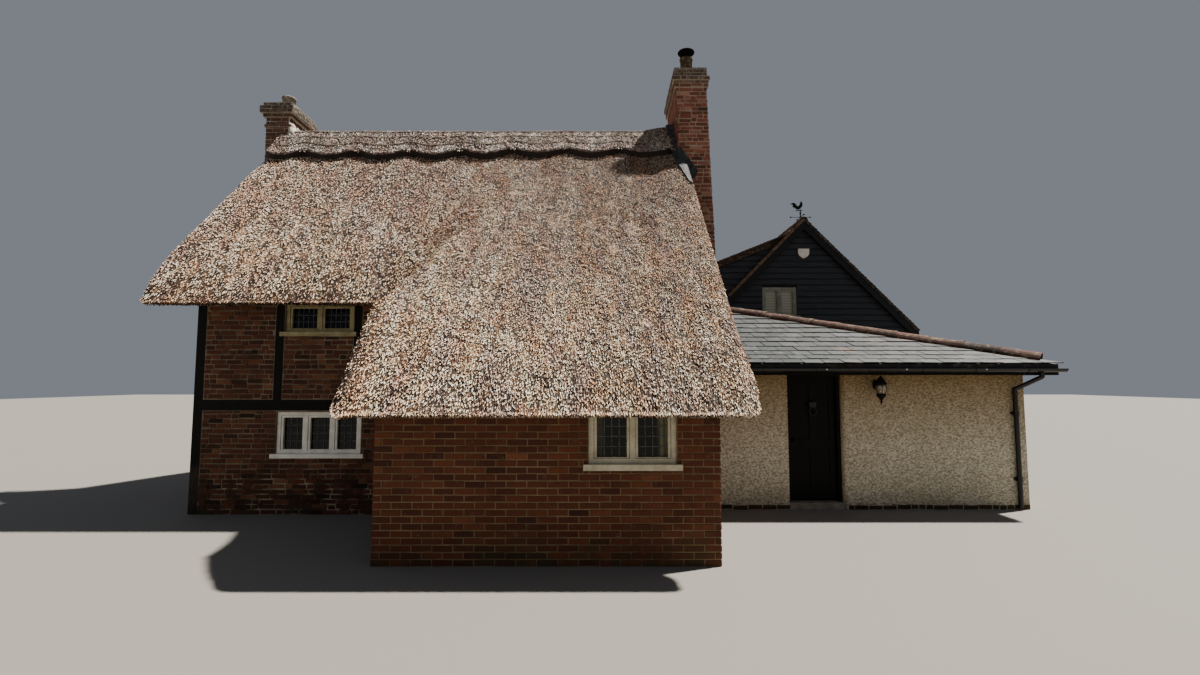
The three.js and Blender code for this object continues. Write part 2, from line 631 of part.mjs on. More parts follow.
// Board below the slates' edge, and the half-round gutter hung on it, both turning the corner
function eavesGear() {
  const { front, right, eave, thick } = WING_ROOF;
  const backY = RANGE.front - 60;
  const leftX = WING.left + 5;
  const boardTop = eave - thick - GAP;
  const board = { deep: 25, tall: 110 };
  const fascia = join([
    block(leftX, right - GAP, front, front + board.deep, boardTop - board.tall, boardTop),
    block(right - board.deep, right, front, backY, boardTop - board.tall, boardTop),
  ]);
  place("wing_fascia", fascia, BLACK_PAINT);
  const half = (radius, cx, cz) => {
    const shape = new THREE.Shape();
    shape.moveTo(cx - radius, cz);
    shape.absarc(cx, cz, radius, Math.PI, 2 * Math.PI, false);
    return shape;
  };
  const rim = boardTop - 12;
  const wide = 55;
  const trough = (radius, grow) => join([
    prism("x", half(radius, front - wide - GAP, rim + grow), leftX - grow, right + wide + GAP + grow / 4),
    prism("y", half(radius, right + wide + GAP, rim + grow), front - wide - GAP - grow / 4, backY + grow),
  ]);
  const ends = 4;
  const hollow = trough(wide - 4, 0.5)
    .intersect(block(leftX + ends, right + 200, front - 200, backY - ends, 1500, 3000));
  place("wing_gutter", trough(wide, 0).subtract(hollow), BLACK_PAINT);
  const outlet = right - 300;
  downpipe(outlet, front - wide - GAP, rim - wide - GAP);
}

// Downpipe: outlet under the gutter, swan neck back to the wall, straight drop with two clips
function downpipe(x, y, z) {
  const radius = 34;
  const wallY = WING.front - radius - 14;
  const route = [[x, y, z], [x, y, z - 70], [x - 230, wallY, z - 260], [x - 230, wallY, 40]];
  const knees = route.slice(1, 3).map(([a, b, c]) => {
    const ball = new THREE.SphereGeometry(radius, 12, 8);
    return solid(ball.translate(a, b, c));
  });
  const runs = route.slice(1).map((point, i) => bar(route[i], point, radius, 12));
  const clips = [1450, 450].map((height) => {
    const plate = block(x - 230 - 60, x - 230 + 60, wallY + 10, WING.front - GAP, height, height + 40);
    return plate.add(bar([x - 230, wallY, height - 20], [x - 230, wallY, height + 60], radius + 7, 12));
  });
  place("wing_downpipe", join([...runs, ...knees, ...clips]), BLACK_PAINT);
}

// Two hinges behind the door: a pin on a bracket of the frame, and a barrel on the door round it
const HINGE = {
  x: DOORWAY.right - DOORWAY.frame - 2.5,
  y: DOORWAY.frameBack + 12,
  pin: 6,
  bore: 6.8,
  barrel: 12,
  tall: 80,
};
const HINGE_HEIGHTS = [330, 1700];

function hingeBracket(z) {
  const { x, y, pin, tall } = HINGE;
  const bracket = block(x, x + 30, DOORWAY.frameBack - 1, y + 8, z - 8, z);
  const seat = bar([x, y, z - 8], [x, y, z], 10.5, 12);
  return join([bracket, seat, bar([x, y, z - 4], [x, y, z + tall], pin, 12)]);
}

function hingeBarrel(z) {
  const { x, y, barrel, tall } = HINGE;
  const strap = block(x - 60, x, DOORWAY.frameBack - 2, y - 6, z + GAP, z + tall);
  return strap.add(bar([x, y, z + GAP], [x, y, z + tall], barrel, 12));
}

// Door frame, door on its right-hand hinges, and the stone sill
function entrance() {
  const { left, right, sill, head, frame, frameFront, frameBack } = DOORWAY;
  const outer = [left + GAP, right - GAP];
  const ring = block(...outer, frameFront, frameBack, sill + GAP, head);
  const clear = block(left + frame, right - frame, frameFront - 5, frameBack + 5, sill - 50, head - frame);
  place("door_frame", join([ring.subtract(clear), ...HINGE_HEIGHTS.map(hingeBracket)]), BLACK_PAINT);
  place("door_step", block(...outer, WING.front, WING.front + WING.wall, 0, sill), STONE);
  const leaf = {
    x0: left + frame + DOOR.latchGap,
    x1: right - frame - DOOR.hingeGap,
    z0: sill + DOOR.foot,
    z1: head - frame - DOOR.headGap,
  };
  const back = frameBack;
  let door = block(leaf.x0, leaf.x1, back - DOOR.thick, back, leaf.z0, leaf.z1);
  const middle = (leaf.x0 + leaf.x1) / 2;
  const panels = [[leaf.x0 + 95, middle - 40], [middle + 40, leaf.x1 - 95]];
  const rows = [[leaf.z0 + 190, leaf.z0 + 800], [leaf.z0 + 930, leaf.z1 - 110]];
  for (const [x0, x1] of panels) {
    for (const [z0, z1] of rows) {
      door = door.subtract(block(x0, x1, back - DOOR.thick - 5, back - DOOR.thick + 12, z0, z1));
    }
  }
  const plate = block(middle - 32, middle + 32, back - DOOR.thick - 8, back - DOOR.thick + 5, 1560, 1740);
  const loop = new THREE.TorusGeometry(38, 9, 8, 16).rotateX(Math.PI / 2 - 0.15);
  const knocker = solid(loop.translate(middle, back - DOOR.thick - 14, 1610));
  const doorFace = back - DOOR.thick;
  const handle = [leaf.x0 + 60, 1040];
  const knob = solid(new THREE.SphereGeometry(28, 12, 8).translate(handle[0], doorFace - 26, handle[1]));
  const stem = bar([handle[0], doorFace + 2, handle[1]], [handle[0], doorFace - 20, handle[1]], 12);
  const boreAt = (z) => bar([HINGE.x, HINGE.y, z], [HINGE.x, HINGE.y, z + 2 * HINGE.tall], HINGE.bore, 12);
  const bores = HINGE_HEIGHTS.map(boreAt);
  const hung = join([door, plate, knocker, knob, stem, ...HINGE_HEIGHTS.map(hingeBarrel)]);
  place("front_door", hung.subtract(join(bores)), BLACK_PAINT);
}

function wallLantern() {
  const x = 4300;
  const wallY = WING.front - GAP;
  const y = wallY - 150;
  const plate = block(x - 45, x + 45, wallY - 18, wallY, 1820, 2010);
  const arm = join([
    bar([x, wallY - 10, 1950], [x, wallY - 90, 2040], 11, 8),
    bar([x, wallY - 90, 2040], [x, y, 2040], 11, 8),
    bar([x, y, 2046], [x, y, 1960], 11, 8),
  ]);
  const body = [
    [0, 1640], [14, 1645], [20, 1665], [38, 1685], [58, 1700], [88, 1900],
    [118, 1910], [112, 1925], [45, 1985], [18, 2010], [0, 2015],
  ];
  place("wall_lantern", join([plate, arm, turned(body, x, y, 8)]), BLACK_IRON);
}

const rangeTop = (x) => RANGE_ROOF.apex - RANGE_ROOF.slope * Math.abs(x - RANGE_ROOF.ridgeX);
const linkTop = (x) => rangeTop(LINK.meetX) - LINK.slope * (LINK.meetX - x);

function rearRange() {
  const { left, right, front, back, wall, sideWall } = RANGE;
  const { ridgeX, halfWidth, thick, overhang } = RANGE_ROOF;
  const under = (x) => rangeTop(x) - thick - GAP;
  const linkUnder = (x) => linkTop(x) - thick - GAP;
  const gable = [[left, 0], [right, 0], [right, under(right)], [ridgeX, under(ridgeX)], [left, under(left)]];
  const gableWall = prism("y", gable, front, front + wall);
  const windowGap = windowHole(RANGE_WINDOW, front - 50, front + wall + 50);
  place("rear_gable_wall", gableWall.subtract(windowGap), TARRED_OAK);
  const meet = LINK.meetX - 90;
  const linkFront = [
    [LINK.left, 0], [left - GAP, 0], [left - GAP, under(left) + 2 * GAP], [meet, under(meet) + 2 * GAP],
    [meet, linkUnder(meet)], [LINK.left, linkUnder(LINK.left)],
  ];
  place("link_front_wall", prism("y", linkFront, front, front + wall), TARRED_OAK);
  const rear = [
    [LINK.left, 0], [right, 0], [right, under(right)], [ridgeX, under(ridgeX)],
    [LINK.meetX, under(LINK.meetX)], [LINK.left, linkUnder(LINK.left)],
  ];
  place("rear_back_wall", prism("y", rear, back - wall, back), TARRED_OAK);
  const sideY = [front + wall + GAP, back - wall - GAP];
  const leftSide = [
    [LINK.left, 0], [LINK.left + sideWall, 0],
    [LINK.left + sideWall, linkUnder(LINK.left + sideWall)], [LINK.left, linkUnder(LINK.left)],
  ];
  place("link_left_wall", prism("y", leftSide, ...sideY), TARRED_OAK);
  const inside = right - sideWall;
  const rightSide = [[inside, 0], [right, 0], [right, under(right)], [inside, under(inside)]];
  place("rear_right_wall", prism("y", rightSide, ...sideY), TARRED_OAK);
  const slab = (x0, x1, top) => [[x0, top(x0)], [x0, top(x0) - thick], [x1, top(x1) - thick], [x1, top(x1)]];
  const roofY = [front - overhang, back + overhang];
  place("rear_roof_right", prism("y", slab(ridgeX + GAP / 2, ridgeX + halfWidth, rangeTop), ...roofY), CLAY);
  const strip = prism("y", slab(ridgeX - halfWidth, ridgeX - GAP / 2, rangeTop), roofY[0], front - GAP);
  const upper = prism("y", slab(LINK.meetX, ridgeX - GAP / 2, rangeTop), front - 5, roofY[1]);
  place("rear_roof_left", strip.add(upper).subtract(spaceUnderSlates(-GAP)), CLAY);
  const linkRoof = prism("y", slab(LINK.eaveX, LINK.meetX - GAP, linkTop), front - 60, roofY[1]);
  place("link_roof", linkRoof.subtract(block(4250, 5000, front - 200, front - GAP / 2, 3000, 7000)), CLAY);
  const floorX = [LINK.left + sideWall + GAP, right - sideWall - GAP];
  place("rear_ground_floor", block(...floorX, ...sideY, 0, DOORWAY.sill), STONE);
  place("rear_upper_floor", block(...floorX, ...sideY, RANGE_FLOOR.bottom, RANGE_FLOOR.top), FLOOR_BOARD);
}

// Wide boards along the gable's verge, joined at the top
function bargeboards() {
  const { ridgeX, halfWidth, thick, overhang } = RANGE_ROOF;
  const deep = thick + 90;
  const front = RANGE.front - overhang - GAP;
  const low = ridgeX + halfWidth;
  const drop = 20;
  const edge = (x) => rangeTop(x) - drop;
  const outline = [
    [2 * ridgeX - low, edge(low)], [2 * ridgeX - low, edge(low) - deep], [ridgeX, edge(ridgeX) - deep],
    [low, edge(low) - deep], [low, edge(low)], [ridgeX, edge(ridgeX)],
  ];
  const boards = prism("y", outline, front - 30, front).subtract(spaceUnderSlates(-GAP));
  place("rear_bargeboards", boards, BLACK_PAINT);
}

// Plain shield-shaped cover of the alarm sounder
function alarmBox() {
  const shield = new THREE.Shape();
  const { x, top, half } = { x: 5080, top: 5240, half: 135 };
  shield.moveTo(x - half, top);
  shield.lineTo(x - half, top - 110);
  shield.quadraticCurveTo(x - half + 20, top - 200, x, top - 240);
  shield.quadraticCurveTo(x + half - 20, top - 200, x + half, top - 110);
  shield.lineTo(x + half, top);
  place("alarm_box", prism("y", shield, RANGE.front - 70, RANGE.front - GAP), WHITE_PLASTIC);
}

// Weather vane: fixed mast with four arms, and the turning cockerel and arrow on its pin
function weatherVane() {
  const { x, y, mastTop, pinTop, arms, reach } = VANE;
  const foot = RANGE_ROOF.apex + GAP;
  const mast = join([
    bar([x, y, foot], [x, y, mastTop - 40], 14, 12),
    bar([x, y, foot], [x, y, foot + 25], 45, 12),
    bar([x, y, mastTop - 60], [x, y, mastTop], 20, 12),
    bar([x, y, mastTop - 20], [x, y, pinTop], 6, 12),
    bar([x - reach, y, arms], [x + reach, y, arms], 7, 8),
    bar([x, y - reach, arms], [x, y + reach, arms], 7, 8),
    ...[[-reach, 0], [reach, 0], [0, -reach], [0, reach]].map(([dx, dy]) => {
      const finial = new THREE.SphereGeometry(22, 10, 8);
      return solid(finial.translate(x + dx, y + dy, arms));
    }),
  ]);
  place("vane_mast", mast, BLACK_IRON);
  const bird = new THREE.Shape();
  const base = mastTop + 70;
  const outline = [
    [-40, 0], [40, 0], [62, 42], [120, 60], [150, 110], [132, 165], [108, 118], [78, 92], [40, 84],
    [0, 92], [-30, 128], [-46, 176], [-66, 190], [-92, 168], [-120, 150], [-92, 138], [-84, 100], [-62, 42],
  ];
  bird.setFromPoints(outline.map(([dx, dz]) => new THREE.Vector2(x + dx, base + dz)));
  const plate = prism("y", bird, y - 4, y + 4);
  const level = mastTop + 45;
  const arrow = bar([x - 200, y, level], [x + 200, y, level], 7, 8);
  const head = prism("y", [[x - 260, level], [x - 190, level - 30], [x - 190, level + 30]], y - 4, y + 4);
  const tail = block(x + 180, x + 250, y - 4, y + 4, level - 40, level + 40);
  const sleeve = bar([x, y, mastTop + GAP], [x, y, pinTop + 20], 16, 14);
  const bore = bar([x, y, mastTop - 20], [x, y, pinTop + 5], 7.5, 14);
  place("vane_cockerel", join([plate, arrow, head, tail, sleeve]).subtract(bore), BLACK_IRON);
}

const underThatch = spaceUnderThatch();
const thatch = roofOfThatch();
chimneyPots();
oldBlock(underThatch);
outshot(underThatch);
windows();
wing(thatch);
hipTiles();
eavesGear();
entrance();
wallLantern();
rearRange();
bargeboards();
alarmBox();
weatherVane();

// The origin is the middle of the base
const bounds = new THREE.Box3().setFromObject(house);
const middle = bounds.getCenter(new THREE.Vector3());
house.position.set(-middle.x, -middle.y, -bounds.min.z);

export default house;
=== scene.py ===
# %% [markdown]
# # A thatched cottage, dressed
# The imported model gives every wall, roof and window at its real size. This script adds what the eye
# looks for: thatch made of cut straw, courses of brick, slates, tiles and tarred boards, and a finish
# for each of them. Everything is in metres, with the ground at z = 0 and the entrance front facing -Y.

# %% Load the frame
import math
import bpy
import numpy as np
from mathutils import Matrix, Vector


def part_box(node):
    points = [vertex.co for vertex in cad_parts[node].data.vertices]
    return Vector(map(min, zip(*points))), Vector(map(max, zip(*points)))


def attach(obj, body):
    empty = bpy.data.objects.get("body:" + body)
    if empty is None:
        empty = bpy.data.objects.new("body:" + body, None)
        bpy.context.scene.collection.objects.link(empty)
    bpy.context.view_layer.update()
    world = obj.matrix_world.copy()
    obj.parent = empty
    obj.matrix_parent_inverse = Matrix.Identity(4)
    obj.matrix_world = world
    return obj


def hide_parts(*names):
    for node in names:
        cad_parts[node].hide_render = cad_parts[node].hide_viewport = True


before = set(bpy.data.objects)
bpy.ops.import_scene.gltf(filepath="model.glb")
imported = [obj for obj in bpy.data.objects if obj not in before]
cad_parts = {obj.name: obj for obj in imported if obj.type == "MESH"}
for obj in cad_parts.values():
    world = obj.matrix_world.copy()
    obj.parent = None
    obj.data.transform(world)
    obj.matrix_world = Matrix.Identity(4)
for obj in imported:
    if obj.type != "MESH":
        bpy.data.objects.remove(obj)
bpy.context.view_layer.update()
X, Y, UP = np.eye(3)


def corners(node):
    """Lowest and highest corner of a node of the frame, as two arrays."""
    low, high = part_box(node)
    return np.array(low), np.array(high)


outshot_low, outshot_high = corners("outshot_front_wall")

# %% [markdown]
# ## Camera
# The photograph was taken with a wide lens by somebody standing a little over six metres in front of
# the low outshot, looking straight at it and very slightly up. The lens is given as a focal length on a
# 36 mm wide sensor, so the picture keeps its shape at any size.

# %% Camera
camera_back = 6.10
camera_right_of_outshot = 1.30
eye_height = 2.0
focal_share = 555 / 1200
look_up = math.radians(4.28)

camera_data = bpy.data.cameras.new("photo_camera")
camera_data.sensor_width = 36
camera_data.lens = 36 * focal_share
camera_data.clip_end = 200
camera = bpy.data.objects.new("photo_camera", camera_data)
camera.location = (outshot_high[0] - camera_right_of_outshot, outshot_low[1] - camera_back, eye_height)
camera.rotation_euler = (math.pi / 2 + look_up, 0, 0)
bpy.context.scene.collection.objects.link(camera)
bpy.context.scene.camera = camera
print("camera at", tuple(round(v, 2) for v in camera.location))

# %% [markdown]
# ## Small tools
# Every new piece is made the same way: numpy works out all its points as one array, and the array goes
# into a mesh in one step. A second array, the tone, gives each straw, brick or slate its own number
# between 0 and 1, which the materials turn into its own shade.


# %% Tool: a mesh from arrays
def volume_inside(points, groups):
    """Volume that closed faces hold, each cut into a fan of triangles: positive if they look outwards."""
    points, total = np.asarray(points, float) - points[0], 0.0
    for group in groups:
        corner = points[group]
        total += np.sum(corner[:, :1] * np.cross(corner[:, 1:-1], corner[:, 2:])) / 6
    return total


def new_piece(name, points, faces, material, slot, body="house", tone=None, smooth=False, replaces=()):
    """A piece from an (n, 3) array of points and a list of face arrays, one array for each face size."""
    mesh = bpy.data.meshes.new(name)
    groups = [np.asarray(group, np.int32) for group in faces]
    if volume_inside(points, groups) < 0:
        groups = [group[:, ::-1] for group in groups]
    sizes = np.concatenate([np.full(len(group), group.shape[1], np.int32) for group in groups])
    loops = np.concatenate([group.ravel() for group in groups])
    mesh.vertices.add(len(points))
    mesh.vertices.foreach_set("co", np.asarray(points, np.float32).ravel())
    mesh.loops.add(len(loops))
    mesh.loops.foreach_set("vertex_index", loops)
    mesh.polygons.add(len(sizes))
    mesh.polygons.foreach_set("loop_start", np.concatenate([[0], np.cumsum(sizes)[:-1]]).astype(np.int32))
    mesh.polygons.foreach_set("use_smooth", np.full(len(sizes), smooth))
    mesh.update(calc_edges=True)
    if tone is not None:
        mesh.attributes.new("tone", "FLOAT", "POINT").data.foreach_set("value", np.asarray(tone, np.float32))
    mesh.materials.append(material)
    piece = bpy.data.objects.new(name, mesh)
    bpy.context.scene.collection.objects.link(piece)
    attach(piece, body)
    if replaces:
        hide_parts(*replaces)
    print(f"{name}: {len(points)} points, {int((sizes - 2).sum())} triangles")
    return piece


def gather(parts):
    """Several (points, faces) made into one set, each with its faces counted on from the last."""
    points, by_size, start = [], {}, 0
    for these, faces in parts:
        points.append(these)
        for group in faces:
            group = np.asarray(group)
            by_size.setdefault(group.shape[1], []).append(group + start)
        start += len(these)
    return np.concatenate(points), [np.concatenate(groups) for groups in by_size.values()]


def set_finish(names, material):
    """Gives nodes of the frame their finish."""
    for name in names:
        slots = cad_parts[name].data.materials
        slots.clear()
        slots.append(material)


# %% Tools: smooth steps and smooth noise
def ease(t):
    """Smooth step from 0 to 1."""
    t = np.clip(t, 0, 1)
    return t * t * (3 - 2 * t)


def mix(a, b, t):
    """The way from a to b, at a share t of it."""
    return a + (b - a) * t


def unit(vectors):
    """Vectors brought to length 1."""
    return vectors / np.linalg.norm(vectors, axis=-1, keepdims=True)


def lattice_noise(u, v, cell, seed):
    """Smooth noise from -1 to 1: random values on a square lattice of the given cell, eased between."""
    rng = np.random.default_rng(seed)
    table = rng.uniform(-1, 1, (256, 256))
    a, b = np.asarray(u) / cell, np.asarray(v) / cell
    i, j = np.floor(a).astype(int), np.floor(b).astype(int)
    s, t = a - i, b - j
    s, t = s * s * (3 - 2 * s), t * t * (3 - 2 * t)
    value = lambda di, dj: table[(i + di) % 256, (j + dj) % 256]
    low = value(0, 0) * (1 - s) + value(1, 0) * s
    high = value(0, 1) * (1 - s) + value(1, 1) * s
    return low * (1 - t) + high * t


# %% Tools: tubes, rods and turned shapes
def ring_faces(rings, around):
    """Quads between successive rings of points, and one flat face to close each end."""
    ring = np.arange(rings - 1)[:, None] * around
    step = np.arange(around)[None, :]
    after = (step + 1) % around
    quads = np.stack([ring + step, ring + after, ring + around + after, ring + around + step], -1)
    first = np.arange(around)[None, ::-1]
    last = (rings - 1) * around + np.arange(around)[None, :]
    return [quads.reshape(-1, 4), first, last]


def circle(around):
    """Cosine and sine of evenly spaced angles, once round."""
    angle = np.linspace(0, 2 * np.pi, around, endpoint=False)
    return np.cos(angle), np.sin(angle)


def rod(path, radius, sides=6):
    """A round rod through the points of a path: a ring of points square to the path at each of them."""
    path = np.asarray(path, float)
    ahead = unit(np.gradient(path, axis=0))
    level = np.cross(ahead, UP)
    size = np.linalg.norm(level, axis=-1, keepdims=True)
    level = np.where(size < 1e-6, X, level / np.maximum(size, 1e-6))
    third = np.cross(ahead, level)
    cos, sin = (wave[None, :, None] for wave in circle(sides))
    ring = path[:, None] + radius * (cos * level[:, None] + sin * third[:, None])
    return ring.reshape(-1, 3), ring_faces(len(path), sides)


def turned(profile, middle, around=24):
    """A profile of (radius, height) points, lowest first, turned about an upright axis at middle."""
    radius, height = np.array(profile).T
    cos, sin = circle(around)
    ring = np.stack([cos, sin, 0 * cos], -1)
    points = radius[:, None, None] * ring[None] + height[:, None, None] * UP
    points += np.array([middle[0], middle[1], 0])
    return points.reshape(-1, 3), ring_faces(len(radius), around)


# %% Tools: blocks
BOX_QUADS = np.array([[0, 1, 2, 3], [7, 6, 5, 4], [1, 0, 4, 5], [2, 1, 5, 6], [3, 2, 6, 7], [0, 3, 7, 4]])


def block_faces(count, turn_over=False):
    """Six faces for each of so many blocks: corners 0 to 3 are one end's, and 4 to 7 the other's."""
    faces = (np.arange(count)[:, None, None] * 8 + BOX_QUADS).reshape(-1, 4)
    return [faces[:, ::-1] if turn_over else faces]


def wall_blocks(origin, along, out, u, d, z):
    """Blocks on a wall, from arrays of eight corners each: u along it, d out from it and z up."""
    points = np.asarray(origin, float) + u[..., None] * along + d[..., None] * out + z[..., None] * UP
    return points.reshape(-1, 3), block_faces(len(u), np.dot(np.cross(along, UP), out) < 0)


def plates(spans, depths):
    """Upright boxes from (x0, x1, z0, z1) spans, all of them between the same two depths."""
    x0, x1, z0, z1 = np.array(spans).T
    near, far = 0 * x0 + depths[0], 0 * x0 + depths[1]
    corner = np.array([[x0, x1, x1, x0] * 2, [near] * 4 + [far] * 4, [z0, z0, z1, z1] * 2])
    return corner.T.reshape(-1, 3), block_faces(len(x0))


def eased_edges(piece, width, segments=2):
    """A small bevel over a piece's edges."""
    bevel = piece.modifiers.new("eased", "BEVEL")
    bevel.width = width
    bevel.segments = segments
    bevel.limit_method = "ANGLE"
    return piece


# %% [markdown]
# ## Finishes
# Every finish is a few layers of noise in the object's own coordinates, so it needs no picture and no
# unwrapping. One noise picks the base colour, others lay patches of soot, moss or lichen over it, and
# the last one is the relief. The class below adds the shader nodes, so that a finish reads as a recipe.

# %% Tool: a finish in the making
def paint(code):
    """A colour written as #rrggbb, as the linear values that a shader takes."""
    srgb = np.array([int(code[i:i + 2], 16) for i in (1, 3, 5)]) / 255
    linear = np.where(srgb <= 0.04045, srgb / 12.92, ((srgb + 0.055) / 1.055) ** 2.4)
    return (*linear.tolist(), 1.0)


class Finish:
    """A material in the making: each method adds nodes and gives back what comes out of them."""

    def __init__(self, name, roughness=0.9, metallic=0.0, specular=0.5):
        self.material = bpy.data.materials.new(name)
        self.material.use_nodes = True
        self.tree = self.material.node_tree
        self.shader = self.tree.nodes["Principled BSDF"]
        self.shader.inputs["Roughness"].default_value = roughness
        self.shader.inputs["Metallic"].default_value = metallic
        self.shader.inputs["Specular IOR Level"].default_value = specular
        self.place = self.node("TexCoord").outputs["Object"]

    def node(self, kind, settings=None, **sockets):
        """One node: settings are its menus, and each socket, by name or _number, gets a value or a link."""
        made = self.tree.nodes.new("ShaderNode" + kind)
        for key, value in (settings or {}).items():
            setattr(made, key, value)
        for key, value in sockets.items():
            socket = made.inputs[int(key[1:])] if key[0] == "_" else made.inputs[key]
            if isinstance(value, bpy.types.NodeSocket):
                self.tree.links.new(value, socket)
            else:
                socket.default_value = value
        return made

    def math(self, operation, *values):
        """A number worked out from others."""
        sockets = {f"_{number}": value for number, value in enumerate(values)}
        return self.node("Math", {"operation": operation}, **sockets).outputs[0]

    def tone(self):
        """The number from 0 to 1 that each straw, brick or slate carries."""
        return self.node("Attribute", {"attribute_name": "tone"}).outputs["Fac"]

    def noise(self, scale, detail=3.0, rough=0.5, stretch=None):
        """Noise over object coordinates, stretched by an (x, y, z) scale where one is given."""
        place = self.place
        if stretch:
            place = self.node("Mapping", Vector=place, Scale=stretch).outputs["Vector"]
        return self.node("TexNoise", Vector=place, Scale=scale, Detail=detail, Roughness=rough).outputs["Fac"]

    def along(self, axis, start, end, low=0.0, high=1.0):
        """A number that goes from low to high while a coordinate goes from start to end."""
        coordinate = self.node("SeparateXYZ", Vector=self.place).outputs[axis]
        return self.node("MapRange", Value=coordinate, _1=start, _2=end, _3=low, _4=high).outputs[0]

    def ramp(self, value, *stops):
        """Colour from a number, by stops of (place, colour code or grey)."""
        made = self.node("ValToRGB", Fac=value)
        while len(made.color_ramp.elements) < len(stops):
            made.color_ramp.elements.new(0.5)
        for element, (place, code) in zip(made.color_ramp.elements, stops):
            element.position = place
            element.color = paint(code) if isinstance(code, str) else (code, code, code, 1)
        return made.outputs["Color"]

    def shades(self, value, codes):
        """Colour from a number, by evenly spaced stops."""
        return self.ramp(value, *[(number / (len(codes) - 1), code) for number, code in enumerate(codes)])

    def blend(self, share, first, second, how="MIX"):
        """Two colours mixed by a share, or by one of the painter's modes."""
        first, second = (paint(color) if isinstance(color, str) else color for color in (first, second))
        menus = {"data_type": "RGBA", "blend_type": how}
        return self.node("Mix", menus, _0=share, _6=first, _7=second).outputs[2]

    def stain(self, color, code, stops, *noise, how="MIX"):
        """Patches of another colour: none where the noise is under the first stop, most over the second."""
        return self.blend(self.ramp(self.noise(*noise), *stops), color, code, how)

    def done(self, color, relief=None, strength=1.0, distance=0.01):
        """The material, once it has its colour, and its relief where a height is given."""
        self.tree.links.new(color, self.shader.inputs["Base Color"])
        if relief is not None:
            bump = self.node("Bump", Height=relief, Strength=strength, Distance=distance)
            self.tree.links.new(bump.outputs["Normal"], self.shader.inputs["Normal"])
        return self.material


def plain_finish(name, grain, stops, relief=None, strength=1.0, distance=0.01, **surface):
    """A finish of two noises: the grain picks the colour, and the relief stands up from it."""
    made = Finish(name, **surface)
    color = made.ramp(made.noise(*grain), *stops)
    return made.done(color, made.noise(*relief) if relief else None, strength, distance)


# %% [markdown]
# ## Thatch
# The coat is a thick skin of straw, brushed smooth by its maker and weathered to brown, grey and pink.
# It could be one bumpy surface, but its look comes from thousands of short cut ends that catch the sun
# one by one. So a closed skin gives the form, and small straw stubs stand on it, each a long thin
# pyramid with its blunt end down the slope and its point buried.

# %% Thatch: its slopes, from the frame
site = np.array([outshot_high[0] - camera_right_of_outshot, outshot_low[1], 0.0])
coat_low, coat_high = corners("thatch_coat")
ridge_y = 4.66
apex = 6.68
main_slope = 1.265
catslide_slope = 0.976
main_depth = 0.484
catslide_depth = 0.419
main_eave = 1.99
catslide_eave = -0.36
back_eave = 2 * ridge_y - main_eave
coat_left = coat_low[0] - site[0]
coat_right = coat_high[0] - site[0]
roll_run = 0.6
roll_drop = 0.15
catslide_thinner = 0.78
valley_from = 0.9
valley_depth = 0.05


def verge_edge(up):
    """The catslide's left edge: it drifts outwards as it climbs from its eave."""
    return -2.81 - 0.045 * up - 0.034 * up * up


def catslide_share(x, y):
    """How much of the catslide is in the surface: none on its left, all of it on its right."""
    width = np.where(y < 1, 0.26, mix(0.26, 1.0, y - 1))
    return ease((x - verge_edge(y - catslide_eave)) / width)


def over_catslide(x):
    """From 0 over the main eave to 1 over the catslide's, for what changes between the two."""
    return ease((x + 3.4) / 0.7)


def slope_top(x, y):
    """Height of the slopes over the plan: steep main slope, easier catslide, and one steep slope behind."""
    run = ridge_y - y
    main = apex - main_slope * run
    catslide = apex - catslide_slope * run
    drop = catslide - main
    rise = np.clip((y - valley_from) / (main_eave - valley_from), 0, 1)
    drop = np.where(y < main_eave, mix(valley_depth, drop, rise), drop)
    front = catslide - (1 - catslide_share(x, y)) * drop
    return np.where(y > ridge_y, apex + main_slope * run, front)


# %% Thatch: its edges
def rounded_end(x, reach, depth):
    """A quarter ellipse at both ends of the coat: 0 inside the reach, and the full depth at the very end."""
    near = np.clip(np.minimum(x - coat_left, coat_right - x) / reach, 0, 1)
    return depth * (1 - np.sqrt(1 - (1 - near) ** 2))


def corner_back(x):
    """How far an eave stands back near the ends of the coat."""
    return rounded_end(x, 0.18, 0.22)


def end_round(x):
    """Drop of the outer face near both ends of the coat."""
    return rounded_end(x, 0.24, 0.09)


verge_up = np.linspace(0, 2.6, 400)
verge_line = verge_edge(verge_up) + 0.12 * np.exp(-verge_up / 0.05)


def eave_at(x):
    """Front end of the coat at x: the main eave, then down the verge and round a corner to the catslide's."""
    eave = np.minimum(main_eave, catslide_eave + np.interp(-x, -verge_line, verge_up))
    return eave + corner_back(x)


def back_eave_at(x):
    """Back end of the coat at x."""
    return back_eave - corner_back(x)


def thatch_top(x, y):
    """Height of the coat's outer face: the slopes, rolled over by a square law in their last stretch."""
    drop = roll_drop * mix(1, catslide_thinner, over_catslide(x))
    front = drop * np.clip(1 - (y - eave_at(x)) / roll_run, 0, 1) ** 2
    back = roll_drop * np.clip(1 - (back_eave_at(x) - y) / roll_run, 0, 1) ** 2
    return slope_top(x, y) - np.where(y > ridge_y, back, front)


LEAN_AT = [-0.1, 0, 0.12, 0.23, 0.34, 0.49, 0.72, 0.865, 1]
LEAN = [-0.11, -0.15, -0.165, -0.13, -0.075, 0, 0.10, 0.20, 0.36]


def end_lean(x, y):
    """Sideways lean of the verges: the left bows out low down and leans in at the ridge, the right flares."""
    lean_from = -5.80
    share = np.clip((lean_from - x) / (lean_from - coat_left), 0, 1)
    height = 1 - np.abs(y - ridge_y) / (ridge_y - main_eave)
    flare = ease((x - coat_right + 0.8) / 0.8) * (0.02 + 0.055 * ease((0.6 - y) / 0.8))
    return share * np.interp(height, LEAN_AT, LEAN) + flare


print("coat from", round(coat_left, 2), "to", round(coat_right, 2))


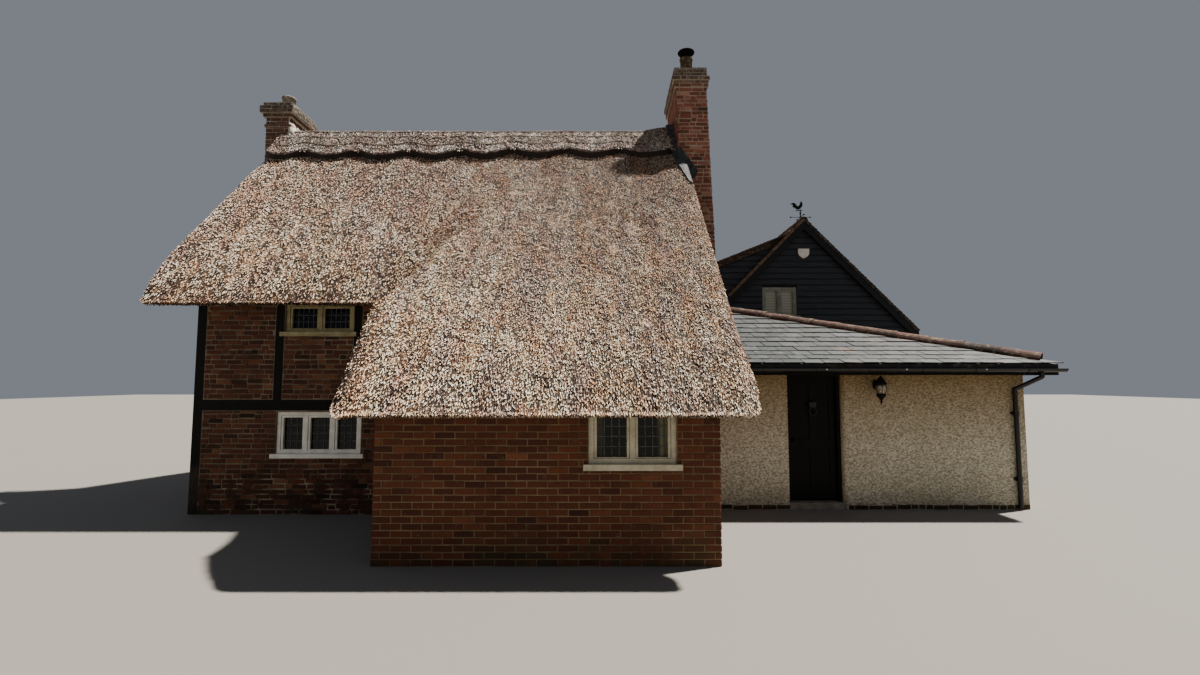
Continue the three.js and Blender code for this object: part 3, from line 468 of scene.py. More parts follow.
# %% Thatch: the skin
def nose(turn):
    """Rounded cut edge of the eaves: outwards and down from the end of the slope, for turn from 0 to 1."""
    steps = [0, 0.15, 0.35, 0.6, 0.8, 1]
    out = np.interp(turn, steps, [0, -0.018, -0.028, -0.022, 0.010, 0.090])
    return out, np.interp(turn, steps, [-0.002, -0.010, -0.022, -0.037, -0.047, -0.053])


def coat_rings(xs, inset):
    """One ring of (y, z) for each x: nose, front slope, back slope, back nose and underside, in order."""
    x, inset = xs[:, None], inset[:, None]
    front, back = eave_at(x), back_eave_at(x)
    share = over_catslide(x)
    shrink = 1 - inset / 0.4
    nose_out, nose_down = nose(np.linspace(0, 1, 10)[None, :])
    nose_y = front + inset + nose_out * shrink
    nose_z = thatch_top(x, front) + nose_down * mix(1, catslide_thinner, share) * shrink - inset * 0.3
    rise_y = mix(front, ridge_y, np.linspace(0, 1, 126)[None, 1:] ** 0.92)
    fall_y = mix(ridge_y, back, np.linspace(0, 1, 62)[None, 1:-1])
    back_nose_y = back - inset - nose_out * shrink
    back_nose_z = thatch_top(x, back) + nose_down * shrink - inset * 0.3
    wall = front + np.where(front > 0, 0.30, 0.36)
    soffit_y = mix(wall, ridge_y, np.linspace(0, 1, 16)[None, :])
    soffit_z = slope_top(x, soffit_y) - mix(main_depth, catslide_depth, share) + inset
    under_back_y = mix(ridge_y, back - 0.30, np.linspace(0, 1, 10)[None, 1:])
    under_back_z = slope_top(x, under_back_y) - main_depth + inset
    top_y = np.concatenate([rise_y, fall_y], 1)
    top_z = thatch_top(x, top_y) - inset
    ys = [nose_y[:, ::-1], top_y, back_nose_y, under_back_y[:, ::-1], soffit_y[:, ::-1]]
    zs = [nose_z[:, ::-1], top_z, back_nose_z, under_back_z[:, ::-1], soffit_z[:, ::-1]]
    return np.concatenate(ys, 1), np.concatenate(zs, 1)


def brushed(x, y):
    """Unevenness of the coat: wide swells, hand-sized lumps and ragged fine ones, all a little sunk in."""
    swells = 0.014 * lattice_noise(x, y, 0.9, 1)
    lumps = 0.009 * lattice_noise(x, y, 0.28, 2)
    return swells + lumps + 0.007 * lattice_noise(x, y, 0.09, 3) - 0.012


end_steps = np.array([0, 0.006, 0.02, 0.045, 0.08, 0.13, 0.19])
inner = np.concatenate([
    np.linspace(coat_left + 0.26, -3.7, 48), np.linspace(-3.66, -2.4, 56),
    np.linspace(-2.36, coat_right - 0.26, 62)])
coat_x = np.concatenate([coat_left + end_steps, inner, coat_right - end_steps[::-1]])
ring_y, ring_z = coat_rings(coat_x, end_round(coat_x))
ring_x = coat_x[:, None] + end_lean(coat_x[:, None], ring_y)
upper = ring_z > thatch_top(ring_x, ring_y) - 0.3
ring_z = ring_z + np.where(upper, brushed(ring_x, ring_y * 1.3), 0)
coat_points = np.stack([ring_x, ring_y, ring_z], -1).reshape(-1, 3) + site
print("coat grid", ring_y.shape)


# %% [markdown]
# The colour of old thatch changes at every scale: each straw has its own shade, hand-sized patches are
# greyer or pinker, and patches of paler straw grow stronger lower down, most of all low on the catslide.
# The shade of each straw comes from its tone, and the patches from noise over the object's coordinates.
# The tones also carry painted light and shade: each stub is paler at its cut end and darker at its buried
# point, and the skin between the stubs and the straws at the eaves are darkened as shade.

# %% Finish: weathered straw
def straw_finish(name, dark, mid, light, pale_patch=True):
    """Straw: its tone picks a shade between dark and light, and noise lays pink, grey and pale patches."""
    made = Finish(name, roughness=0.75, specular=0.35)
    fine = made.noise(70, 3, 0.65, (1, 0.4, 0.4))
    value = made.math("ADD", made.tone(), made.math("MULTIPLY_ADD", fine, 0.7, -0.35))
    color = made.ramp(value, (0.0, "#1f1813"), (0.26, dark), (0.5, mid), (0.76, light), (1.0, "#fff8ee"))
    pinker, greyer = [(0.43, 0.0), (0.6, 0.7)], [(0.5, 0.0), (0.66, 0.45)]
    color = made.stain(color, "#d4b2a8", pinker, 1.9, 4, 0.6, (1.8, 0.6, 0.6), how="MULTIPLY")
    color = made.stain(color, "#bdb3a4", greyer, 2.8, 3, 0.6, (2.0, 0.5, 0.5), how="MULTIPLY")
    if pale_patch:
        patch = made.ramp(made.noise(1.5, 4, 0.65, (2.4, 0.5, 0.5)), (0.4, 0.0), (0.53, 0.9))
        low_down = made.math("MULTIPLY", made.along("Z", 5.8, 2.6, 0.35, 1.0), patch)
        color = made.blend(low_down, color, "#fff4d2", "SOFT_LIGHT")
    return made.done(color, fine, 0.8, 0.02)


straw = straw_finish("weathered_straw", "#46362c", "#d0a88f", "#ffe8ce")
# Painted shade: the skin shows only between the straws, so its tone is kept low, dark as the shade in those
# gaps.
coat_gap_shade_tone = 0.15 + 0.24 * lattice_noise(ring_x * 1.7, ring_y * 0.6, 0.05, 5).ravel()
new_piece("thatch_skin", coat_points, ring_faces(*ring_y.shape), straw, "straw",
          tone=coat_gap_shade_tone, smooth=True, replaces=["thatch_coat"])


# %% Thatch: cut straws on any face of it
def slope_normal(x, y):
    """Unit normal of the coat and its rise each way, taken over one centimetre to either side."""
    step = 0.01
    face = lambda px, py: thatch_top(px, py) - end_round(px)
    zx = (face(x + step, y) - face(x - step, y)) / (2 * step)
    zy = (thatch_top(x, y + step) - thatch_top(x, y - step)) / (2 * step)
    return unit(np.stack([-zx, -zy, np.ones_like(zx)], -1)), zx, zy


def lay_straws(x, y, z, along, normal, sizes, rng):
    """Long thin pyramids: three corners at the blunt lower end, and a point buried up the slope.

    Sizes are the ranges of their length, width and lift."""
    root = np.stack([x + end_lean(x, y), y, z], -1) + site
    length, width, lift = (rng.uniform(*bounds, len(x))[:, None] for bounds in sizes)
    side = np.cross(normal, along)
    end = root + along * length * 0.5 + normal * lift
    tip = root - along * length * 0.5 - normal * 0.012
    twist = rng.uniform(0, 2 * np.pi, len(root))[:, None]
    points = []
    for third in range(3):
        angle = twist + third * 2 * np.pi / 3
        points.append(end + width * (np.cos(angle) * side + np.sin(angle) * normal))
    points = np.stack([*points, tip], 1)
    first = np.arange(len(root))[:, None] * 4
    faces = np.concatenate([first + np.array([t]) for t in ((2, 1, 0), (0, 1, 3), (1, 2, 3), (2, 0, 3))])
    return points.reshape(-1, 3), [faces]


def lit_and_shaded_stub_tones(tone):
    """Tones of the stubs' corners, with painted light and shade: paler at the cut end, as if it caught the
    sun, and darker at the buried point, as the shade between the straws.
    """
    return np.clip(tone[:, None] + np.array([0.12, 0.12, 0.12, -0.25]), 0, 1).ravel()


# %% Thatch: straws on the slopes
def slope_straws(name, count, from_x, to_x, front, seed):
    """Straws scattered evenly over one slope of the coat, lying down the slope with a little disorder."""
    rng = np.random.default_rng(seed)
    x = rng.uniform(from_x, to_x, count * 2)
    highest, slack = ridge_y - 0.3 if front else ridge_y + 0.25, 0.005
    if front:
        y = highest - (highest - catslide_eave) * rng.uniform(0, 1, count * 2)
        keep = y > eave_at(x) - slack
    else:
        y = rng.uniform(highest, back_eave, count * 2)
        keep = y < back_eave_at(x) + slack
    x, y = x[keep][:count], y[keep][:count]
    normal, zx, zy = slope_normal(x, y)
    sway = rng.normal(0, 0.12, len(x)) + 0.35 * np.clip(zx, -1, 1)
    fall = -1.0 if front else 1.0
    along = unit(np.stack([sway, np.full(len(x), fall), fall * zy + sway * zx], -1))
    ground = thatch_top(x, y) - end_round(x) + brushed(x + end_lean(x, y), y * 1.3)
    laid = lay_straws(x, y, ground, along, normal, [(0.045, 0.085), (0.0035, 0.0062), (0.0, 0.02)], rng)
    far_up = np.clip((y - catslide_eave) / (ridge_y - catslide_eave), 0, 1)
    clump = mix(0.1, 0.3, far_up) * lattice_noise(x * 1.6, y, 0.05, seed + 1)
    clump += 0.07 * lattice_noise(x * 2, y * 0.7, 0.3, 3) + mix(0.05, 0.08, far_up)
    # Painted shade: straws within 13 cm above the main eave, where the coat rolls away from the sun, are
    # darkened; the catslide is left out.
    main_eave_shade_share = np.clip(1 - (y - main_eave) / 0.13, 0, 1) if front else 0.0
    shade = 0.4 * main_eave_shade_share * (1 - catslide_share(x, y))
    tone = lit_and_shaded_stub_tones(rng.beta(0.62, 0.56, len(x)) + clump - shade)
    return new_piece(name, *laid, straw, "straw", tone=tone)


slope_straws("thatch_straws_left", 32000, coat_left + 0.02, -2.6, True, 11)
slope_straws("thatch_straws_middle", 44000, -2.6, -0.4, True, 12)
slope_straws("thatch_straws_right", 44000, -0.4, coat_right - 0.02, True, 13)
slope_straws("thatch_straws_back", 22000, coat_left + 0.02, coat_right - 0.02, False, 14)

# %% [markdown]
# ## The ridge
# A thatcher finishes the top with a thick cap of fresh straw, cut along its lower edges in rounded
# scallops that meet in small upturned points, and pinned by long split rods called liggers. The cap is
# a ring of points carried along the roof, with the scallops as a sine of the distance along it.

# %% Ridge: the cap
cusp_x = -5.75
scallop_period = 1.02
cap_left = -6.66
cap_right = 1.60
cap_depth = 0.37
cap_thick = 0.15
scallop_depth = 0.16
crest_height = 6.95


def scallop(x):
    """From 0 at the points between the scallops to 1 in the middle of each."""
    return np.abs(np.sin(np.pi * (x - cusp_x) / scallop_period))


def ridge_top(x):
    """Height of the cap's crest, which lifts a little as it runs up to the right-hand stack."""
    lift_from, lift_to = 0.70, 1.44
    return crest_height + 0.10 * ease((x - lift_from) / (lift_to - lift_from))


def ridge_face(x, share, way):
    """A point on one face of the cap: share 0 at the lip and 1 at the crest; way -1 in front, 1 behind."""
    drop = cap_depth + scallop_depth * scallop(x)
    slope = (apex - thatch_top(x, np.full_like(x, ridge_y - 0.5))) / 0.5 if way < 0 else main_slope
    edge = ridge_y + way * drop / slope
    lip = thatch_top(x, edge) + cap_thick
    y = mix(edge, ridge_y, share)
    z = mix(lip, ridge_top(x), share) + 0.03 * np.sin(np.pi * np.clip(share, 0, 1)) ** 0.8
    return y, z, edge


def ridge_ring(x):
    """Ring round the cap: front foot, cut edge, face, crest, face, cut edge and back foot."""
    x = x[:, None]
    share = np.linspace(0, 1, 16)[None, :]
    sides = []
    for way in (-1, 1):
        y, z, edge = ridge_face(x + 0 * share, share, way)
        edge = edge[:, :1]
        cut_y = edge - way * np.array([[0.10, 0.045, 0.028, 0.010]])
        cut_z = thatch_top(x, edge) + np.array([[-0.05, 0.045, 0.09, 0.13]])
        sides.append((np.concatenate([cut_y, y], 1), np.concatenate([cut_z, z], 1)))
    (front_y, front_z), (back_y, back_z) = sides
    ys = np.concatenate([front_y, back_y[:, -2::-1], 0 * x + ridge_y], 1)
    zs = np.concatenate([front_z, back_z[:, -2::-1], 0 * x + apex - 0.06], 1)
    return ys, zs


cap_x = np.linspace(cap_left, cap_right, 280)
cap_y, cap_z = ridge_ring(cap_x)
cap_full_x = cap_x[:, None] + end_lean(cap_x[:, None], cap_y)
rough = 0.006 * lattice_noise(cap_full_x, cap_z * 1.5, 0.05, 21)
rough += 0.008 * lattice_noise(cap_full_x, cap_y, 0.3, 22)
cap_points = np.stack([cap_full_x, cap_y, cap_z + rough - 0.006], -1).reshape(-1, 3) + site
ridge_straw = straw_finish("ridge_straw", "#4a413b", "#94887e", "#d3c8bd", pale_patch=False)
cap_tone_with_cut_shade = 0.4 + 0.3 * lattice_noise(cap_full_x * 1.3, cap_z, 0.04, 23)
# Painted shade: the ring points of the cut faces under both lips, and of the cap's underside, get tone -0.4,
# the straw's darkest colour, as the shadow under the cap's edge.
cap_tone_with_cut_shade[:, :4] = -0.4
cap_tone_with_cut_shade[:, -5:] = -0.4
new_piece("ridge_cap", cap_points, ring_faces(*cap_y.shape), ridge_straw, "ridge_straw",
          tone=cap_tone_with_cut_shade.ravel(), smooth=True, replaces=["thatch_ridge"])


# %% Ridge: its straws, and the ragged cut edge
def ridge_straws(name, count, way, seed):
    """Straws on one face of the cap, pointing down it, and a fringe of them along the cut lip."""
    rng = np.random.default_rng(seed)
    x = rng.uniform(cap_left + 0.02, cap_right, count)
    share = 0.06 + 0.94 * rng.uniform(0, 1, count) ** 1.3
    fringe, tuft = count // 5, count // 40
    share[:fringe] = rng.uniform(0.06, 0.12, fringe)
    cusps = cusp_x + scallop_period * rng.integers(0, 8, tuft)
    x[:tuft] = np.minimum(cusps + rng.normal(0, 0.03, tuft), cap_right)
    share[:tuft] = rng.uniform(-0.1, 0.1, tuft)
    y, z, _ = ridge_face(x, share, way)
    lower_y, lower_z, _ = ridge_face(x, share - 0.05, way)
    along = unit(np.stack([rng.normal(0, 0.05, count) * 0.3, lower_y - y, lower_z - z], -1))
    along[:, 0] += rng.normal(0, 0.16, count)
    along = unit(along)
    normal = unit(np.cross(X, along) * -way)
    normal *= np.sign(normal[:, 2:3] + 1e-9)
    laid = lay_straws(x, y, z, along, normal, [(0.05, 0.1), (0.005, 0.009), (-0.002, 0.008)], rng)
    tone = np.repeat(np.clip(rng.beta(0.8, 0.8, count), 0, 1), 4)
    return new_piece(name, *laid, ridge_straw, "ridge_straw", tone=tone)


ridge_straws("ridge_straws_front", 9500, -1, 31)
ridge_straws("ridge_straws_back", 4500, 1, 32)


# %% Ridge: liggers, and the spars that pin them
def cap_rod(x, share, way, proud, radius, sides):
    """A rod laid on one face of the cap, from the places along it and their shares of its height."""
    y, z, _ = ridge_face(x, share, way)
    return rod(np.stack([x + end_lean(x, y), y, z + proud], -1) + site, radius, sides)


def ligger(share, way):
    """One long rod laid along a face of the cap at a share of its height."""
    x = np.linspace(cap_left + 0.1, cap_right - 0.1, 70)
    return cap_rod(x, np.full_like(x, share), way, 0.012, 0.008, 5)


def spars(way, step=0.17):
    """Short rods crossing between the two lower liggers in a row of leaning strokes."""
    made = []
    for number, start in enumerate(np.arange(cap_left + 0.3, cap_right - 0.3, step)):
        lean = 0.17 if number % 2 else -0.17
        share = np.linspace(0.3, 0.62, 4)
        made.append(cap_rod(start + lean * (share - 0.3) / 0.32, share, way, 0.014, 0.006, 4))
    return made


hazel = plain_finish("hazel_rods", (9, 4, 0.6), [(0.3, "#5b4e43"), (0.7, "#9a8a76")], (80,), 0.4, 0.004,
                     roughness=0.8)
liggers = [ligger(share, way) for share in (0.3, 0.62, 0.9) for way in (-1, 1)]
new_piece("ridge_liggers", *gather(liggers), hazel, "ridge_straw", smooth=True)
new_piece("ridge_spars", *gather(spars(-1) + spars(1)), hazel, "ridge_straw", smooth=True)


# %% [markdown]
# ## Eaves
# At the eaves the thatch is cut back to a blunt, slightly hanging edge, and the ends of the straw show
# there as a coarse brush. The same stubs are used again, now pointing outwards and down.

# %% Eaves: the brush of cut ends
def eave_straws(name, count, seed):
    """Stubs on the nose of the coat, along the front and back eaves and the catslide's left edge."""
    rng = np.random.default_rng(seed)
    x = rng.uniform(coat_left + 0.02, coat_right - 0.02, count)
    slant = rng.uniform(0, 1, count) < 0.16
    x[slant] = rng.uniform(-3.33, -2.74, int(slant.sum()))
    behind = (rng.uniform(0, 1, count) < 0.36) & ~slant
    turn = rng.uniform(0, 0.98, count)
    way = np.where(behind, -1.0, 1.0)
    share = np.where(behind, 0.0, over_catslide(x))
    edge = np.where(behind, back_eave_at(x), eave_at(x))
    out, down = nose(turn)
    z = thatch_top(x, edge) - end_round(x) + down * mix(1, catslide_thinner, share)
    along = unit(np.stack([rng.normal(0, 0.22, count), way * mix(-0.7, 0.1, turn), -np.ones(count)], -1))
    normal = unit(np.stack([np.zeros(count), -way, 0.2 * np.ones(count)], -1))
    sizes = [(0.02, 0.058), (0.0035, 0.0065), (0, 0.008)]
    laid = lay_straws(x, edge + way * out, z, along, normal, sizes, rng)
    # Painted shade: stubs on the nose are darker the further it turns under, away from the sun, and on the
    # main and back eaves darker still than on the catslide.
    tone = lit_and_shaded_stub_tones(rng.beta(0.8, 0.8, count) - np.where(share > 0.5, 0.15 * turn, 0.3 + 0.3 * turn))
    return new_piece(name, *laid, straw, "straw", tone=tone)


def verge_straws(name, count, seed):
    """Stubs on the two rounded verges, lying down the slope and a little outwards."""
    rng = np.random.default_rng(seed)
    right = rng.uniform(0, 1, count) < 0.55
    front = rng.uniform(0, 1, count) < 0.6
    lowest = np.where(front, np.where(right, catslide_eave, main_eave) + 0.22, back_eave - 0.22)
    y = mix(lowest, ridge_y, rng.uniform(0.015, 1, count))
    depth = rng.uniform(0, 1, count)
    x = np.where(right, coat_right - 0.02 + 0.02 * np.sin(depth * np.pi), coat_left + 0.02)
    room = mix(0.02, 0.36, np.clip(np.abs(y - lowest) / 0.4, 0, 1))
    z = thatch_top(x, y) - 0.06 - room * depth
    zy = np.where(front, np.where(right, catslide_slope, main_slope), -main_slope)
    way = np.where(front, -1.0, 1.0)
    along = np.stack([np.where(right, 0.12, -0.12) + rng.normal(0, 0.06, count), way, way * zy], -1)
    along = unit(along + rng.normal(0, 0.15, (count, 3)) * np.array([0, 1, 1]))
    normal = np.where(right, 1.0, -1.0)[:, None] * X
    laid = lay_straws(x, y, z, along, normal, [(0.06, 0.13), (0.005, 0.009), (0, 0.01)], rng)
    tone = np.repeat(np.clip(rng.normal(0.45, 0.22, count), 0, 1), 4)
    return new_piece(name, *laid, straw, "straw", tone=tone)


eave_straws("eave_straws", 10000, 41)
verge_straws("verge_straws", 6000, 42)


# %% [markdown]
# ## Brickwork
# Three kinds of brick are on the house: even newer bricks on the outshot, rough old ones between the
# timbers, and weathered ones on the stacks. A brick pattern in a shader stays flat, so each brick is a
# small block of its own, standing a few millimetres proud of the wall, which shows between them as
# mortar. Courses are cut where a window, a post or a roof crosses them.

# %% Bricks: laying and cutting the courses
def lay_bricks(width, height, brick, course, seed, bond):
    """Rectangles (left, right, bottom, top) of a wall's bricks, cut off at its two ends."""
    rng = np.random.default_rng(seed)
    rows = int(np.ceil(height / course))
    per_row = int(np.ceil(width / (brick * 0.5))) + 3
    row = np.arange(rows)[:, None]
    if bond == "stretcher":
        uneven = 0.3
        lengths = np.full((rows, per_row), brick)
        start = -brick * 0.5 * (row % 2) - 0.02
    else:
        uneven = 1.0
        header = rng.uniform(0, 1, (rows, per_row)) < 0.42
        lengths = np.where(header, brick * 0.5, brick) * rng.uniform(0.94, 1.05, (rows, per_row))
        start = -brick * rng.uniform(0, 1, (rows, 1))
    ends = start + np.cumsum(lengths, 1)
    u0, u1 = np.clip((ends - lengths).ravel(), 0, width), np.clip(ends.ravel(), 0, width)
    z0 = (row * course + 0 * ends).ravel() + uneven * rng.normal(0, 0.004, u0.size)
    z1 = np.minimum(z0 + course, height)
    keep = (u1 - u0 > 0.03) & (z1 - z0 > 0.02)
    return np.stack([u0, u1, z0, z1], -1)[keep]


def cut_hole(bricks, hole):
    """Bricks with one rectangular hole taken out: what is left, right, below and above it stays."""
    h0, h1, b0, b1 = hole
    u0, u1, z0, z1 = bricks.T
    hit = (u0 < h1) & (u1 > h0) & (z0 < b1) & (z1 > b0)
    rest, cut = bricks[~hit], bricks[hit]
    left, right, below, above = cut.copy(), cut.copy(), cut.copy(), cut.copy()
    left[:, 1] = np.minimum(left[:, 1], h0)
    right[:, 0] = np.maximum(right[:, 0], h1)
    for part in (below, above):
        part[:, 0] = np.maximum(part[:, 0], h0)
        part[:, 1] = np.minimum(part[:, 1], h1)
    below[:, 3] = np.minimum(below[:, 3], b0)
    above[:, 2] = np.maximum(above[:, 2], b1)
    every = np.concatenate([rest, left, right, below, above])
    return every[(every[:, 1] - every[:, 0] > 0.035) & (every[:, 3] - every[:, 2] > 0.022)]


def brick_blocks(bricks, origin, along, out, seed, joint=0.010, proud=0.008, worn=0.0015):
    """Each rectangle as a block whose front edges are eased, standing proud of the wall."""
    rng = np.random.default_rng(seed)
    u0, u1, z0, z1 = (bricks + np.array([1, -1, 1, -1]) * joint / 2).T
    n, eased, sunk = len(bricks), 0.004, -0.004
    front = proud + rng.normal(0, 0.0016, n)
    us = np.stack([u0, u1, u1, u0], 1)
    zs = np.stack([z0, z0, z1, z1], 1)
    near_u = us + np.array([1, -1, -1, 1]) * eased + rng.normal(0, worn, (n, 4))
    near_z = zs + np.array([1, 1, -1, -1]) * eased + rng.normal(0, worn, (n, 4))
    near_d = front[:, None] + rng.normal(0, worn * 0.6, (n, 4))
    u, z = np.concatenate([near_u, us], 1), np.concatenate([near_z, zs], 1)
    return wall_blocks(origin, along, out, u, np.concatenate([near_d, np.full((n, 4), sunk)], 1), z)


# %% Finishes: brick and mortar
def brick_finish(name, shades, soot=0.25, moss=None, head=None):
    """Fired clay: each brick's tone picks its shade; noise adds burnt patches, chalky salts and pits.

    Moss grows below one height, and a stack's head is grey with weather above another."""
    made = Finish(name, specular=0.25)
    mottle = made.math("MULTIPLY_ADD", made.noise(22, 5, 0.7), 0.5, -0.25)
    color = made.shades(made.math("ADD", made.tone(), mottle), shades)
    color = made.stain(color, "#241a16", [(0.45, 0.0), (0.7, soot)], 3.2, 4, 0.6)
    color = made.stain(color, "#a08b79", [(0.6, 0.0), (0.72, 0.35)], 14, 6, 0.75)
    if moss:
        patch = made.ramp(made.noise(4, 4, 0.6), (0.42, 0.0), (0.6, 0.85))
        color = made.blend(made.math("MULTIPLY", made.along("Z", moss, 0.0), patch), color, "#3b3a22")
    if head:
        lichen = made.ramp(made.noise(13, 5, 0.7), (0.35, "#2c2924"), (0.55, "#5b554b"), (0.68, "#8b8478"))
        color = made.blend(made.along("Z", head - 0.12, head + 0.06, 0.0, 0.85), color, lichen)
    return made.done(color, made.noise(120, 5, 0.75), 0.5, 0.004)


def mortar_finish(name, light, dark, patched=None):
    """Lime mortar: sandy, darker where damp and soot have settled, and patched below one height."""
    made = Finish(name, roughness=0.95, specular=0.2)
    color = made.ramp(made.noise(2.2, 5, 0.7), (0.3, dark), (0.65, light))
    if patched:
        patch = made.ramp(made.noise(3, 4, 0.6), (0.45, dark), (0.58, "#a5967c"))
        color = made.blend(made.along("Z", patched, patched - 0.2), color, patch)
    return made.done(color, made.noise(160, 4, 0.8), 0.6, 0.004)


new_brick = brick_finish(
    "outshot_brick", ["#35201a", "#4d2c20", "#5c3322", "#693b26", "#7a4a31"], moss=0.5)
old_brick = brick_finish(
    "old_brick", ["#281a16", "#41271d", "#533022", "#633926", "#785038"], soot=0.4, moss=0.4)
stack_brick = brick_finish(
    "stack_brick", ["#35281f", "#5d3a2c", "#754534", "#865343", "#9c7965"], soot=0.45, head=7.62)
old_stack_brick = brick_finish(
    "old_stack_brick", ["#2a231f", "#46322a", "#573c30", "#65483a", "#7b6453"], soot=0.5, head=7.3)
set_finish(["outshot_front_wall", "outshot_left_wall", "outshot_right_wall"],
           mortar_finish("outshot_mortar", "#8f7858", "#66543c"))
set_finish(["front_wall", "back_wall", "left_gable_wall", "right_gable_wall"],
           mortar_finish("old_mortar", "#857863", "#4a3e32", patched=0.65))
set_finish(["left_chimney", "right_chimney"], mortar_finish("stack_mortar", "#a69b8c", "#766b60"))


# %% Bricks: faces of the walls, and holes in them
def hole_of(node_name, axis, start, sign):
    """The rectangle that a node of the frame covers on a wall, along one axis from a start."""
    low, high = corners(node_name)
    margin = 0.004
    ends = sorted([(low[axis] - start) * sign, (high[axis] - start) * sign])
    return [ends[0] - margin, ends[1] + margin, low[2] - margin, high[2] + margin]


def window_hole(window, start, sign):
    """A window's opening, a little wider than its glass, and the wider strip that its sill takes."""
    rebate = 0.015
    left, right, bottom, top = hole_of(f"{window}_window_glass", 0, start, sign)
    glass = [left - rebate, right + rebate, bottom - rebate, top + rebate]
    left, right, bottom, _ = hole_of(f"{window}_window_frame", 0, start, sign)
    return [glass, [left, right, bottom, glass[2]]]


corner_lap = 0.008
under_thatch = 0.36


def face_y(y, x0, x1, back=False):
    """A wall face that looks along -Y, or +Y at the back: its origin, way along, way out and width."""
    if back:
        return [(x1 + corner_lap, y, 0), -X, Y, x1 - x0 + 2 * corner_lap]
    return [(x0 - corner_lap, y, 0), X, -Y, x1 - x0 + 2 * corner_lap]


def face_x(x, y0, y1, right=False):
    """A wall face that looks along -X, or +X on the right: its origin, way along, way out and width."""
    if right:
        return [(x, y0 - corner_lap, 0), Y, X, y1 - y0 + 2 * corner_lap]
    return [(x, y1 + corner_lap, 0), -Y, -X, y1 - y0 + 2 * corner_lap]


def side(face, height, holes=(), limit=None):
    """One face to lay bricks on, with its holes and a limit to their height where a roof crosses it."""
    return (*face, height, holes, limit)


def under_coat(x, face):
    """Limit of a gable's bricks: a little above the coat's underside at a place along the wall."""
    start, sign = face[0][1], face[1][1]
    return lambda u: slope_top(np.full_like(u, x), start + sign * u - site[1]) - under_thatch


def brick_wall(name, sides, brick, course, material, slot, seed, bond="stretcher", shades=(0.5, 0.2),
               **shape):
    """Bricks over several sides, in one piece; shades are the mean and the spread of their tones."""
    parts, tones = [], []
    for number, (origin, along, out, width, height, holes, limit) in enumerate(sides):
        bricks = lay_bricks(width, height, brick, course, seed + number, bond)
        for hole in holes:
            bricks = cut_hole(bricks, hole)
        if limit is not None:
            bricks = bricks[bricks[:, 3] < limit((bricks[:, 0] + bricks[:, 1]) / 2)]
        parts.append(brick_blocks(bricks, origin, along, out, seed + 50 + number, **shape))
        rng = np.random.default_rng(seed + 90 + number)
        tones.append(np.repeat(np.clip(rng.normal(*shades, len(bricks)), 0, 1), 8))
    return new_piece(name, *gather(parts), material, slot, tone=np.concatenate(tones))


# %% Bricks: the outshot
wing_low, wing_high = corners("wing_front_wall_left")
gable_x = corners("right_gable_wall")[1][0]
front = face_y(outshot_low[1], outshot_low[0], outshot_high[0])
left = face_x(outshot_low[0], outshot_low[1], corners("outshot_left_wall")[1][1] - 0.24)
right = face_x(outshot_high[0], outshot_low[1], wing_low[1], right=True)
outshot_sides = [
    side(front, outshot_high[2], window_hole("outshot", front[0][0], 1)),
    side(left, corners("outshot_left_wall")[1][2], limit=under_coat(-2.45, left)),
    side(right, 4.6, limit=under_coat(1.3, right)),
]
brick_wall("outshot_bricks", outshot_sides, 0.225, 0.075, new_brick, "new_brick", 100, worn=0.001,
           shades=(0.5, 0.15))

# %% Bricks: the old block
old_low, old_high = corners("front_wall")
back_low, back_high = corners("back_wall")
posts = [(-6.115, -5.97), (-4.92, -4.79), (-3.73, -3.61)]
back_posts = [(-6.115, -5.97), (-2.45, -2.32)]
rail = (1.53, 1.69)
full_width = (-1, 20)
above_walls = 8
corner_post = 0.13
stack_chase = 0.09
wing_top = 2.0


def storey_holes(face, sign, posts_at, windows):
    """Strips of the rail and the posts, the first of them down to the ground, and the windows' holes."""
    start = face[0][0]
    holes = [[*full_width, rail[0] - 0.005, rail[1] + 0.005]]
    for number, post in enumerate(posts_at):
        ends = sorted((x + site[0] - start) * sign for x in post)
        holes.append([ends[0] - 0.004, ends[1] + 0.004, rail[0] if number else 0, above_walls])
    return holes + [hole for window in windows for hole in window_hole(window, start, sign)]


front = face_y(old_low[1], old_low[0], old_high[0])
back = face_y(back_high[1], back_low[0], back_high[0], back=True)
left = face_x(corners("left_gable_wall")[0][0], old_low[1], back_high[1])
right = face_x(gable_x, wing_low[1], back_high[1], right=True)
stack_left, stack_right, stack_bottom, _ = hole_of("left_chimney", 1, left[0][1], -1)
left_holes = [
    [stack_left + stack_chase, stack_right - stack_chase, stack_bottom, above_walls], [*full_width, *rail],
    [0, corner_post, 0, above_walls], [left[3] - corner_post, left[3], 0, above_walls]]
old_sides = [
    side(front, 3.6, storey_holes(front, 1, posts, ["lower", "upper"])),
    side(back, 3.5, storey_holes(back, -1, back_posts, ["back_lower", "back_upper"])),
    side(left, 6.4, left_holes, under_coat(-6.1, left)),
    side(right, 6.4, [[*full_width, 0, wing_top]], under_coat(1.3, right)),
]
brick_wall("old_block_bricks", old_sides, 0.228, 0.074, old_brick, "old_brick", 200, bond="mixed",
           joint=0.013, worn=0.0028)


# %% Bricks: the stacks
def stack_sides(x0, x1, y0, y1, z0, z1, hidden=()):
    """The faces of an upright block that aren't hidden; x and y are counted from the site."""
    x0, x1, y0, y1 = x0 + site[0], x1 + site[0], y0 + site[1], y1 + site[1]
    faces = {"front": face_y(y0, x0, x1), "back": face_y(y1, x0, x1, back=True),
             "left": face_x(x0, y0, y1), "right": face_x(x1, y0, y1, right=True)}
    return [side([(*origin[:2], z0), *rest], z1 - z0)
            for way, (origin, *rest) in faces.items() if way not in hidden]


